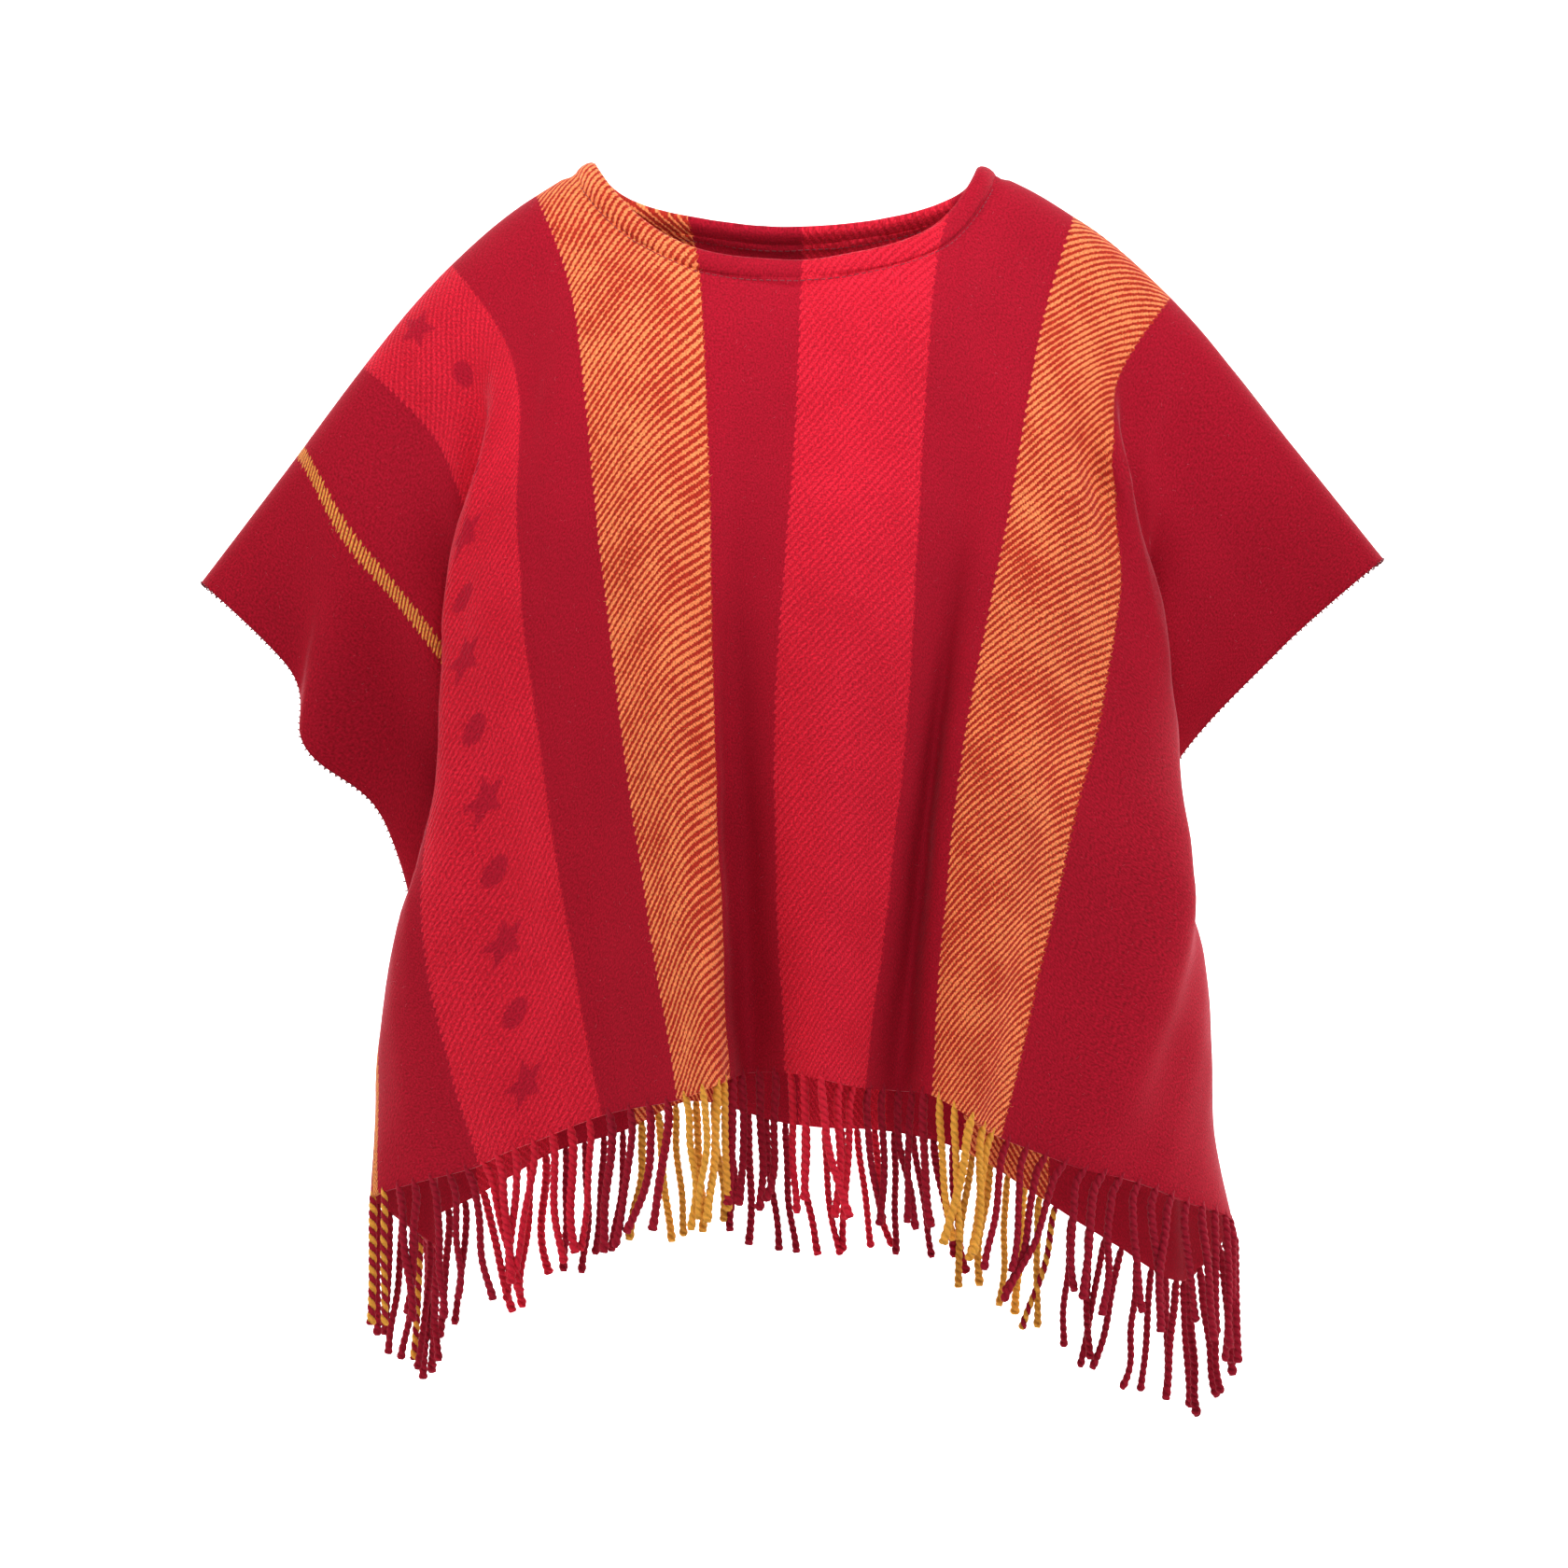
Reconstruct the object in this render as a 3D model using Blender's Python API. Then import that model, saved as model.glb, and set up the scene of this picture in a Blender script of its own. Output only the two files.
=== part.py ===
"""A child's fringed wool poncho, held out at the shoulders as when it is worn.

Metres, +Z up, the wearer faces -Y, +X is on the right seen from the front. The origin lies
between the two shoulder points of the neck. The tables below are in millimetres.

The cloth is one straight length of striped twill folded over the shoulders. A point of it is
named by how far it lies across the cloth, from the left selvedge, and how far along it, from
the shoulder ridge down to the fringed hem. It is parted at that ridge into a front and a back.
"""

import math

import bmesh
import bpy
import numpy as np

MM = 0.001

CLOTH_WIDTH = 795.0
CLOTH_THICKNESS = 2.5
SEAM_GAP = 0.3

# The warp lines pass these distances below the ridge: yoke, chest and waist. The hem comes last.
STATIONS = (75.0, 185.0, 320.0)
# How straight each stretch between two stations hangs: its chord over its cloth.
STRAIGHTNESS = (0.98, 0.995, 1.0, 1.0)
STEEPEST = 0.3
# In a section's row of coordinates the chest's start here, after the ridge's and the yoke's.
FROM_CHEST = 6

# The shoulder ridge, seen from the front: across the cloth, x, z.
RIDGE = (
    (0, -313.5, -221.5),
    (82, -261.5, -153),
    (140, -228.5, -108.5),
    (215, -181.5, -53.5),
    (275, -135.5, -15.5),
    (310, -102.5, 2),
    (399, 0, 1),
    (488, 100, 0),
    (545, 151, -25.5),
    (614, 203.5, -69),
    (705, 260.5, -138),
    (795, 317.5, -209),
)

# One row for each lengthwise section of the front and of the back, left to right: its name,
# how far across it lies, its cloth from ridge to hem, then its plan place, x and y, at the
# yoke, the chest, the waist and the hem. Its heights follow from the cloth it has.
FRONT_SECTIONS = (
    ("selvedge_left", 0, 396, -261, 0, -208, 2, -194, 15, -190, 20),
    ("sleeve_left", 40, 411, -238, -14, -190, -8, -207, 4, -208, 0),
    ("thin_stripe", 82, 438, -222, -22, -166, -12, -212, -13, -219, -30),
    ("armpit_left", 112, 460, -203, -27, -150, -19, -206, -34, -196, -54),
    ("star_stripe_outer", 140, 459, -183, -31, -176, -26, -196, -47, -164, -76),
    ("side_crest_left", 160, 466, -172, -36, -182, -42, -176, -60, -148, -90),
    ("chest_left", 180, 474, -163, -40, -170, -60, -153, -72, -131, -98),
    ("star_stripe_inner", 215, 486, -148, -44, -144, -74, -127, -92, -99, -112),
    ("orange_left_outer", 275, 516, -116, -49, -103, -80, -87, -112, -57, -142),
    ("orange_left_crest", 311, 530, -82, -52, -73, -86, -64, -120, -42, -152),
    ("orange_left_inner", 347, 524, -50, -55, -43, -82, -41, -106, -32, -128),
    ("valley_left", 375, 517, -21, -58, -21, -80, -24, -92, -21, -106),
    ("red_outer", 404, 516, 5, -58, 1, -82, -8, -102, -2, -122),
    ("red_crest", 441, 526, 39, -58, 34, -87, 26, -117, 17, -144),
    ("red_inner", 479, 525, 77, -54, 68, -82, 60, -106, 37, -126),
    ("valley_right", 511, 512, 105, -50, 92, -74, 77, -90, 56, -108),
    ("orange_right_inner", 545, 500, 134, -46, 115, -78, 90, -108, 74, -130),
    ("orange_right_crest", 580, 496, 156, -46, 145, -80, 121, -116, 94, -146),
    ("orange_right_outer", 614, 485, 171, -42, 174, -58, 146, -100, 109, -124),
    ("side_crest_right", 640, 474, 183, -32, 195, -44, 178, -86, 131, -114),
    ("chest_right", 660, 471, 192, -26, 201, -24, 207, -70, 150, -106),
    ("armpit_right", 690, 456, 210, -22, 175, -18, 215, -46, 180, -88),
    ("sleeve_right", 720, 448, 226, -20, 180, -12, 222, -16, 210, -66),
    ("cuff_right", 750, 435, 243, -16, 188, -8, 217, 6, 232, -38),
    ("selvedge_right", 795, 422, 262, 0, 194, 4, 209, 20, 232, 8),
)
BACK_SECTIONS = (
    ("selvedge_left", 0, 396, -261, 0, -208, 2, -194, 15, -190, 20),
    ("sleeve_left", 40, 426, -238, 14, -189, 15, -189, 34, -196, 44),
    ("thin_stripe", 82, 452, -222, 22, -168, 26, -196, 43, -198, 62),
    ("star_stripe_outer", 140, 478, -183, 30, -176, 36, -182, 56, -172, 88),
    ("star_stripe_inner", 215, 508, -146, 38, -146, 62, -140, 82, -128, 108),
    ("orange_left_outer", 275, 530, -114, 42, -106, 70, -98, 96, -86, 118),
    ("orange_left_middle", 311, 537, -82, 45, -74, 76, -68, 98, -62, 120),
    ("middle", 399, 542, 0, 46, 0, 78, 0, 94, 0, 114),
    ("orange_right_inner", 545, 534, 130, 42, 118, 70, 104, 96, 96, 120),
    ("orange_right_outer", 614, 520, 168, 38, 164, 56, 154, 84, 142, 108),
    ("chest_right", 660, 506, 192, 28, 178, 34, 184, 62, 178, 92),
    ("sleeve_right", 720, 481, 226, 20, 185, 24, 203, 44, 210, 62),
    ("cuff_right", 750, 461, 243, 14, 188, 17, 206, 34, 216, 40),
    ("selvedge_right", 795, 422, 262, 0, 194, 4, 209, 20, 232, 8),
)

# Soft folds that run aslant of the sections: the half, where each starts and ends (across,
# along), its width, and how far it pushes the cloth in x, y and z at its end.
FOLDS = (
    ("front", "ripple_left_sleeve", 125, 20, -4, 120, 22, -20, -13, -3),
    ("front", "tuck_right_shoulder", 640, 26, 628, 110, 15, 3, -7, 0),
    ("back", "pleat_left", 190, 70, 205, 520, 24, 0, 11, 0),
    ("back", "pleat_middle_left", 330, 90, 318, 560, 26, 0, 12, 0),
    ("back", "pleat_middle_right", 462, 70, 470, 560, 27, 0, 13, 0),
    ("back", "pleat_right", 590, 80, 585, 540, 24, 0, 11, 0),
)

# The cloth turns over the ridge level with the ground, this fast for each millimetre along it.
# Round the neck nothing holds it up, so there it sets off downwards instead.
RIDGE_TURN = 0.95
NECK_TURN = 0.5
NECK_FALL = 0.6
NECK_REACH = 95.0
# The cuffs stand open this far on each side of the arm's plane, down to where the seam starts.
CUFF_OPEN = 9.0
CUFF_REACH = 50.0
SEAM_TOP = {"left": 185.0, "right": 160.0}

# The neck is a rounded slot, measured on the flat cloth. The front is cut a little deeper
# towards the right, and the back, with a tilt below 0, towards the left.
NECK_MIDDLE = 399.0
NECK_HALF_WIDTH = 89.0
NECK_DEPTH = {"front": 94.0, "back": 42.0}
NECK_ROUNDNESS = {"front": 2.6, "back": 3.0}
NECK_TILT = {"front": 0.06, "back": -0.25}
NECK_HEM_WIDTH = 11.5
NECK_HEM_THICKNESS = 4.5
NECK_STEPS = 22
# Its section, as shares of half its width and half its thickness.
NECK_HEM_SECTION = ((-1.0, 0.45), (-0.6, 1.0), (1.0, 0.8), (1.0, -0.8), (-0.6, -1.0), (-1.0, -0.45))

CELLS_ALONG = 13
CROWDING = 1.5
CELL_WIDTH = 18.0
LEAST_CELLS = 3
NARROWEST_CELL = 4.0
PROBE = 0.4
# Both panels stop this far short of the side seam, measured on the flat cloth.
SELVEDGE_INSET = 1.6

FRINGE_PITCH = 11.7
STRAND_WIDTH = 5.0
STRAND_DEPTH = 4.2
STRAND_LENGTH = 74.0
STRAND_SPREAD = 5.0
STRAND_STEPS = 4
STRAND_TIP = 0.8
FRINGE_STRIP = 5.0
FRINGE_GAP = 0.5
# A strand's tip leans up to this far along the hem, in slow waves that run along the fringe,
# and this far in or out.
SWAY = 2.4
SWING = 1.5
SWAY_WAVE = 55.0
SWING_WAVE = 42.0
SWAY_CURL = 2.1
LENGTH_WAVE = 0.6

# The stripes of the cloth: name, where each ends, its colour.
STRIPES = (
    ("crimson_1", 140, "crimson"),
    ("red_star", 215, "red"),
    ("crimson_2", 275, "crimson"),
    ("yellow_left", 347, "yellow"),
    ("crimson_3", 404, "crimson"),
    ("red_middle", 479, "red"),
    ("crimson_4", 545, "crimson"),
    ("yellow_right", 614, "yellow"),
    ("crimson_5", 795, "crimson"),
)
COLOURS = {
    "crimson": (0.33, 0.008, 0.020),
    "red": (0.62, 0.018, 0.035),
    "yellow": (0.86, 0.42, 0.07),
}
WOOL_ROUGHNESS = 0.9
SMOOTH_UP_TO = math.radians(50)


def side_of(half):
    """-1 for the front, which lies towards -Y, and 1 for the back."""
    return -1.0 if half == "front" else 1.0


def slopes(at, values):
    """The slope of a smooth curve at each of its points."""
    step = np.diff(at)
    rise = np.diff(values, axis=0) / step[:, None]
    middle = rise[:-1] * step[1:, None] + rise[1:] * step[:-1, None]
    middle = middle / (step[1:] + step[:-1])[:, None]
    return np.vstack((rise[:1], middle, rise[-1:]))


def hermite(start, end, slope_start, slope_end, step, share):
    """A point of the curve between two points, at a share of the step between them."""
    rest = 1 - share
    return (
        (1 + 2 * share) * rest**2 * start
        + share * rest**2 * step * slope_start
        + share**2 * (3 - 2 * share) * end
        - share**2 * rest * step * slope_end
    )


def along_curve(at, values, slope, where):
    """The curve through a table's points, read at many places at once."""
    k = np.clip(np.searchsorted(at, where, side="right") - 1, 0, len(at) - 2)
    step = (at[k + 1] - at[k])[:, None]
    share = (where - at[k])[:, None] / step
    return hermite(values[k], values[k + 1], slope[k], slope[k + 1], step, share)


def hung_sections(rows):
    """Each section's places across, its length and its five points, from ridge to hem."""
    across = np.array([row[1] for row in rows], float)
    length = np.array([row[2] for row in rows], float)
    plan = np.array([row[3:] for row in rows], float).reshape(len(rows), 4, 2)
    ridge = np.array(RIDGE, float)
    top = along_curve(ridge[:, 0], ridge[:, 1:], slopes(ridge[:, 0], ridge[:, 1:]), across)
    points = np.zeros((len(rows), 5, 3))
    points[:, 0, 0] = top[:, 0]
    points[:, 0, 2] = top[:, 1]
    points[:, 1:, :2] = plan
    at = station_places(length)
    for k, straightness in enumerate(STRAIGHTNESS):
        chord = straightness * (at[:, k + 1] - at[:, k])
        sideways = np.sum((points[:, k + 1, :2] - points[:, k, :2]) ** 2, axis=1)
        drop = np.sqrt(np.maximum(chord**2 - sideways, (STEEPEST * chord) ** 2))
        points[:, k + 1, 2] = points[:, k, 2] - drop
    return across, length, points


def station_places(length):
    """How far along the cloth the ridge, the three stations and the hem lie."""
    columns = [np.zeros_like(length)] + [np.full_like(length, s) for s in STATIONS] + [length]
    return np.column_stack(columns)


class Half:
    """The front or the back of the cloth, as a surface over (across, along)."""

    def __init__(self, name, rows, other_rows):
        self.name = name
        self.across, self.length, self.points = hung_sections(rows)
        self.slope = slopes(self.across, self.points.reshape(len(rows), -1))
        self.length_slope = slopes(self.across, self.length[:, None])
        other_across, _, other_points = hung_sections(other_rows)
        other = slopes(other_across, other_points.reshape(len(other_rows), -1))
        # Below the cuffs the two halves meet in one side seam, and pass it without a crease.
        for end in (0, -1):
            shared = (self.slope[end] - other[end]) / 2
            self.slope[end, FROM_CHEST:] = shared[FROM_CHEST:]

    def length_at(self, across):
        return along_curve(self.across, self.length[:, None], self.length_slope, across)[:, 0]

    def at(self, across, along):
        """Points of the cloth's middle surface, in millimetres."""
        flat = self.points.reshape(len(self.points), -1)
        here = along_curve(self.across, flat, self.slope, across).reshape(-1, 5, 3)
        places = station_places(self.length_at(across))
        step = np.diff(places, axis=1)[:, :, None]
        rise = np.diff(here, axis=1) / step
        slope = np.empty_like(here)
        middle = rise[:, :-1] * step[:, 1:] + rise[:, 1:] * step[:, :-1]
        slope[:, 1:-1] = middle / (step[:, 1:] + step[:, :-1])
        near_neck = np.clip(1 - ((across - NECK_MIDDLE) / NECK_REACH) ** 2, 0, 1)
        turn = RIDGE_TURN + (NECK_TURN - RIDGE_TURN) * near_neck
        slope[:, 0, 0] = 0.0
        slope[:, 0, 1] = side_of(self.name) * turn
        slope[:, 0, 2] = -NECK_FALL * near_neck
        slope[:, -1] = 1.5 * rise[:, -1] - 0.5 * slope[:, -2]
        k = np.clip((along[:, None] >= places[:, :-1]).sum(axis=1) - 1, 0, 3)
        i = np.arange(len(across))
        share = (along - places[i, k])[:, None] / step[i, k]
        points = hermite(here[i, k], here[i, k + 1], slope[i, k], slope[i, k + 1], step[i, k], share)
        points[:, 1] += side_of(self.name) * self.cuff_opening(across, along)
        return points + self.folds(across, along)

    def cuff_opening(self, across, along):
        total = np.zeros_like(across)
        for side, from_edge in (("left", across), ("right", CLOTH_WIDTH - across)):
            share = np.clip(along / SEAM_TOP[side], 0, 1)
            total += CUFF_OPEN * np.sin(math.pi * share) * np.exp(-from_edge / CUFF_REACH)
        return total

    def folds(self, across, along):
        push = np.zeros((len(across), 3))
        here = np.column_stack((across, along))
        for half, _, across_0, along_0, across_1, along_1, width, *reach in FOLDS:
            if half != self.name:
                continue
            start = np.array((across_0, along_0), float)
            run = np.array((across_1, along_1), float) - start
            share = (here - start) @ run / (run @ run)
            beside = np.linalg.norm(here - start - share[:, None] * run, axis=1)
            grows = np.clip(share, 0, 1)
            grows = grows * grows * (3 - 2 * grows)
            fades = np.exp(-(np.maximum(share - 1, 0) * np.linalg.norm(run) / width) ** 2)
            push += (grows * fades * np.exp(-((beside / width) ** 2)))[:, None] * reach
        return push

    def normals(self, across, along):
        """Which way the cloth faces outwards."""
        before = np.clip(across - PROBE, 0, CLOTH_WIDTH)
        after = np.clip(across + PROBE, 0, CLOTH_WIDTH)
        sideways = self.at(after, along) - self.at(before, along)
        longest = self.length_at(across)
        above = np.clip(along - PROBE, 0, longest)
        below = np.clip(along + PROBE, 0, longest)
        down = self.at(across, below) - self.at(across, above)
        facing = side_of(self.name) * np.cross(sideways, down)
        return facing / np.linalg.norm(facing, axis=1)[:, None]


def material(name):
    made = bpy.data.materials.new("wool_" + name)
    made.use_nodes = True
    shader = made.node_tree.nodes["Principled BSDF"]
    shader.inputs["Base Color"].default_value = (*COLOURS[name], 1.0)
    shader.inputs["Roughness"].default_value = WOOL_ROUGHNESS
    shader.inputs["Metallic"].default_value = 0.0
    return made


def add_object(collection, name, bm, finish):
    """A mesh object whose faces point outwards."""
    bmesh.ops.recalc_face_normals(bm, faces=bm.faces)
    mesh = bpy.data.meshes.new(name)
    bm.to_mesh(mesh)
    bm.free()
    mesh.shade_smooth()
    mesh.set_sharp_from_angle(angle=SMOOTH_UP_TO)
    mesh.materials.append(finish)
    made = bpy.data.objects.new(name, mesh)
    collection.objects.link(made)
    return made


def grid(columns, rows):
    """A flat grid whose points are listed row by row, and the mesh that holds it."""
    bm = bmesh.new()
    made = bmesh.ops.create_grid(bm, x_segments=columns, y_segments=rows, size=1.0)["verts"]
    made.sort(key=lambda vert: (round(vert.co.y, 5), round(vert.co.x, 5)))
    return bm, made


def thicken(bm, verts, inner, outer):
    """Grows a grid into a wall: its points go to the inner side, their copies to the outer."""
    place = {vert: index for index, vert in enumerate(verts)}
    for vert, point in zip(verts, inner):
        vert.co = point
    before = {vert: vert.co.copy() for vert in verts}
    grown = bmesh.ops.extrude_face_region(bm, geom=bm.faces[:], use_keep_orig=True)["geom"]
    copies = [item for item in grown if isinstance(item, bmesh.types.BMVert)]
    named = {before[vert].freeze(): index for vert, index in place.items()}
    for copy in copies:
        copy.co = outer[named[copy.co.copy().freeze()]]


def panel_columns(half):
    """Places across the cloth: each stretch between two sections is cut into equal cells."""
    places = [SELVEDGE_INSET]
    for start, end in zip(half.across[:-1], half.across[1:]):
        cells = max(LEAST_CELLS, round((end - start) / CELL_WIDTH))
        places += [start + (end - start) * (n + 1) / cells for n in range(cells)]
    places[-1] = CLOTH_WIDTH - SELVEDGE_INSET
    round_neck = neck_curve(half.name, NECK_HEM_WIDTH + SEAM_GAP)[0]
    beside_neck = [
        place
        for place in places
        if not round_neck[0] - NARROWEST_CELL < place < round_neck[-1] + NARROWEST_CELL
    ]
    return np.sort(np.concatenate((beside_neck, round_neck)))


def neck_curve(half, margin):
    """The neck's cut on one half, from its left end to its right: across, along."""
    turn = np.linspace(0, math.pi, NECK_STEPS + 1)
    bend = 2 / NECK_ROUNDNESS[half]
    cosine = np.sign(np.cos(turn)) * np.abs(np.cos(turn)) ** bend
    across = NECK_MIDDLE - (NECK_HALF_WIDTH + margin) * cosine
    along = (NECK_DEPTH[half] + margin) * np.abs(np.sin(turn)) ** bend
    return across, along * (1 - NECK_TILT[half] * cosine)


def add_panel(collection, half):
    across = panel_columns(half)
    rows = CELLS_ALONG + 1
    share = (np.arange(rows) / CELLS_ALONG) ** CROWDING
    neck_across, neck_along = neck_curve(half.name, NECK_HEM_WIDTH + SEAM_GAP)
    top = np.interp(across, neck_across, neck_along, left=0.0, right=0.0)
    top = np.maximum(top, SEAM_GAP / 2)
    along = top + share[:, None] * (half.length_at(across) - top)
    flat_across = np.tile(across, rows)
    middle = half.at(flat_across, along.ravel())
    offset = half.normals(flat_across, along.ravel()) * CLOTH_THICKNESS / 2
    bm, verts = grid(len(across) - 1, CELLS_ALONG)
    thicken(bm, verts, (middle - offset) * MM, (middle + offset) * MM)
    return add_object(collection, half.name, bm, bpy.data.materials["wool_crimson"])


def add_neck_hem(collection, halves):
    """The turned hem round the neck: its section is carried round the neck's edge."""
    front, back = halves
    rings = []
    for beside, outwards in NECK_HEM_SECTION:
        ring = []
        for half in (front, back):
            across, along = neck_curve(half.name, NECK_HEM_WIDTH * (1 + beside) / 2)
            lift = half.normals(across, along) * outwards * NECK_HEM_THICKNESS / 2
            ring.append(half.at(across, along) + lift)
        ring = np.concatenate((ring[0], ring[1][-2:0:-1], ring[0][:1]))
        rings.append(ring)
    rings.append(rings[0])
    bm, verts = grid(2 * NECK_STEPS, len(NECK_HEM_SECTION))
    for vert, point in zip(verts, np.concatenate(rings)):
        vert.co = point * MM
    bmesh.ops.remove_doubles(bm, verts=bm.verts, dist=1e-6)
    return add_object(collection, "neck_hem", bm, bpy.data.materials["wool_crimson"])


class HemLine:
    """The panel's own hem, straight from cell to cell, read by how far along it a point lies."""

    def __init__(self, half):
        self.half = half
        self.across = panel_columns(half)
        length = half.length_at(self.across)
        self.points = half.at(self.across, length)
        self.down = self.points - half.at(self.across, length - PROBE)
        self.out = half.normals(self.across, length)
        steps = np.linalg.norm(np.diff(self.points, axis=0), axis=1)
        self.run = np.concatenate(([0.0], np.cumsum(steps)))

    def run_at(self, across):
        return float(np.interp(across, self.across, self.run))

    def read(self, runs):
        """The hem's points, the way the cloth hangs there, and the way it faces."""
        found = []
        for values in (self.points, self.down, self.out):
            found.append(np.column_stack([np.interp(runs, self.run, axis) for axis in values.T]))
        points, down, out = found
        down = down / np.linalg.norm(down, axis=1)[:, None]
        return points, down, out / np.linalg.norm(out, axis=1)[:, None]


def strand_centre(root, run, depth):
    """Where a strand's middle lies at this depth: it hangs down, swaying a little."""
    share = depth / STRAND_LENGTH
    lean = SWAY * share * math.sin(run / SWAY_WAVE + SWAY_CURL * share)
    swing = SWING * share * math.cos(run / SWING_WAVE)
    return root + np.array((lean, swing, -depth))


def add_fringe(collection, hem, stripe, start, end, colour):
    """One stripe's fringe: a narrow strip below the hem and the strands that grow from it."""
    first = hem.run_at(start) + SEAM_GAP / 2
    last = hem.run_at(end) - SEAM_GAP / 2
    count = max(1, round((last - first) / FRINGE_PITCH))
    centres = first + (last - first) * (np.arange(count) + 0.5) / count
    edges = np.sort(np.concatenate((centres - STRAND_WIDTH / 2, centres + STRAND_WIDTH / 2)))
    runs = np.concatenate(([first], edges, [last]))
    points, down, out = hem.read(runs)
    offset = out * CLOTH_THICKNESS / 2
    foot = points + down * (FRINGE_GAP + FRINGE_STRIP)
    top = points + down * FRINGE_GAP
    bm, verts = grid(len(runs) - 1, 1)
    strand_cells = sorted(bm.faces, key=lambda face: face.calc_center_median().x)[1::2]
    thicken(
        bm,
        verts,
        np.concatenate((foot - offset, foot + offset)) * MM,
        np.concatenate((top - offset, top + offset)) * MM,
    )
    for centre, cell in zip(centres, strand_cells):
        add_strand(bm, cell, hem, centre)
    name = f"fringe_{hem.half.name}_{stripe}"
    return add_object(collection, name, bm, bpy.data.materials["wool_" + colour])


def add_strand(bm, cell, hem, run):
    """Draws one strand down from a cell of the strip's underside."""
    root = np.array(cell.calc_center_median()) / MM
    _, _, out = hem.read(np.array([run]))
    out = np.array((out[0, 0], out[0, 1], 0.0))
    out /= np.linalg.norm(out)
    beside = np.array((-out[1], out[0], 0.0))
    length = STRAND_LENGTH + STRAND_SPREAD * math.sin(run / LENGTH_WAVE)
    for step in range(1, STRAND_STEPS + 1):
        above = np.array(cell.calc_center_median()) / MM
        corners = []
        for vert in cell.verts:
            away = np.array(vert.co) / MM - above
            corners.append((math.copysign(1, away @ beside), math.copysign(1, away @ out)))
        cell = bmesh.ops.extrude_discrete_faces(bm, faces=[cell])["faces"][0]
        centre = strand_centre(root, run, length * step / STRAND_STEPS)
        size = STRAND_TIP if step == STRAND_STEPS else 1.0
        for vert, (sideways, outwards) in zip(cell.verts, corners):
            reach = beside * sideways * STRAND_WIDTH + out * outwards * STRAND_DEPTH
            vert.co = (centre + reach * size / 2) * MM


def clear_scene():
    for old in list(bpy.data.objects):
        bpy.data.objects.remove(old, do_unlink=True)


def main():
    clear_scene()
    collection = bpy.data.collections.new("fringed_poncho")
    bpy.context.scene.collection.children.link(collection)
    for name in COLOURS:
        material(name)
    halves = (
        Half("front", FRONT_SECTIONS, BACK_SECTIONS),
        Half("back", BACK_SECTIONS, FRONT_SECTIONS),
    )
    for half in halves:
        add_panel(collection, half)
        hem = HemLine(half)
        start = 0.0
        for stripe, end, colour in STRIPES:
            add_fringe(collection, hem, stripe, start, end, colour)
            start = end
    add_neck_hem(collection, halves)


main()
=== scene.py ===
import math
import random

import bmesh
import bpy
import numpy as np
from mathutils import Matrix, Vector


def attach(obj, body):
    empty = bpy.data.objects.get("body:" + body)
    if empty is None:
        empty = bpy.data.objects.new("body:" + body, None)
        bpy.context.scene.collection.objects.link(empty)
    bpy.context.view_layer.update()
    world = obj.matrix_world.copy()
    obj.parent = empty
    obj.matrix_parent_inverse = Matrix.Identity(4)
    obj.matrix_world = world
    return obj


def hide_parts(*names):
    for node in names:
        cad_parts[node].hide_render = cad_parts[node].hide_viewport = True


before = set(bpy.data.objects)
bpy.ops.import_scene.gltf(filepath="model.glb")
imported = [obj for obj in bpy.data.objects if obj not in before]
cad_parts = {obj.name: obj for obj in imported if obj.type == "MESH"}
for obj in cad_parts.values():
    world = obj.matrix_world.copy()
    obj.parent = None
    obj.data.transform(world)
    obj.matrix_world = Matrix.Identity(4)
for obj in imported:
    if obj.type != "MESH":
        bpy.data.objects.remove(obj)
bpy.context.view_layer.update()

bl_info = {
    "name": "Fringed wool poncho",
    "version": (1, 0, 0),
    "blender": (4, 5, 0),
    "location": "View3D > Sidebar > Poncho",
    "description": "Dresses the packed poncho: striped twill cloth, rolled neck hem, twisted fringe",
    "category": "Object",
}

# The cloth is one length of striped twill. A point of it is named by how far it lies across the
# cloth, from the left selvedge, and along it, from the shoulder ridge to the hem, in millimetres.
MM = 0.001
BODY = "root"
CLOTH_WIDTH = 795.0
SEAM_GAP = 0.3
# How far down the yoke, the chest and the waist lie, and how nearly straight the cloth runs
# between them. The coordinates of a section's points from the chest down start at FROM_CHEST.
STATIONS = (75.0, 185.0, 320.0)
STRAIGHTNESS = (0.98, 0.995, 1.0, 1.0)
STEEPEST = 0.3
FROM_CHEST = 6

# The shoulder ridge, seen from the front: across the cloth, x, z.
RIDGE = (
    (0, -313.5, -221.5),
    (82, -261.5, -153),
    (140, -228.5, -108.5),
    (215, -181.5, -53.5),
    (275, -135.5, -15.5),
    (310, -102.5, 2),
    (399, 0, 1),
    (488, 100, 0),
    (545, 151, -25.5),
    (614, 203.5, -69),
    (705, 260.5, -138),
    (795, 317.5, -209),
)

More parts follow.
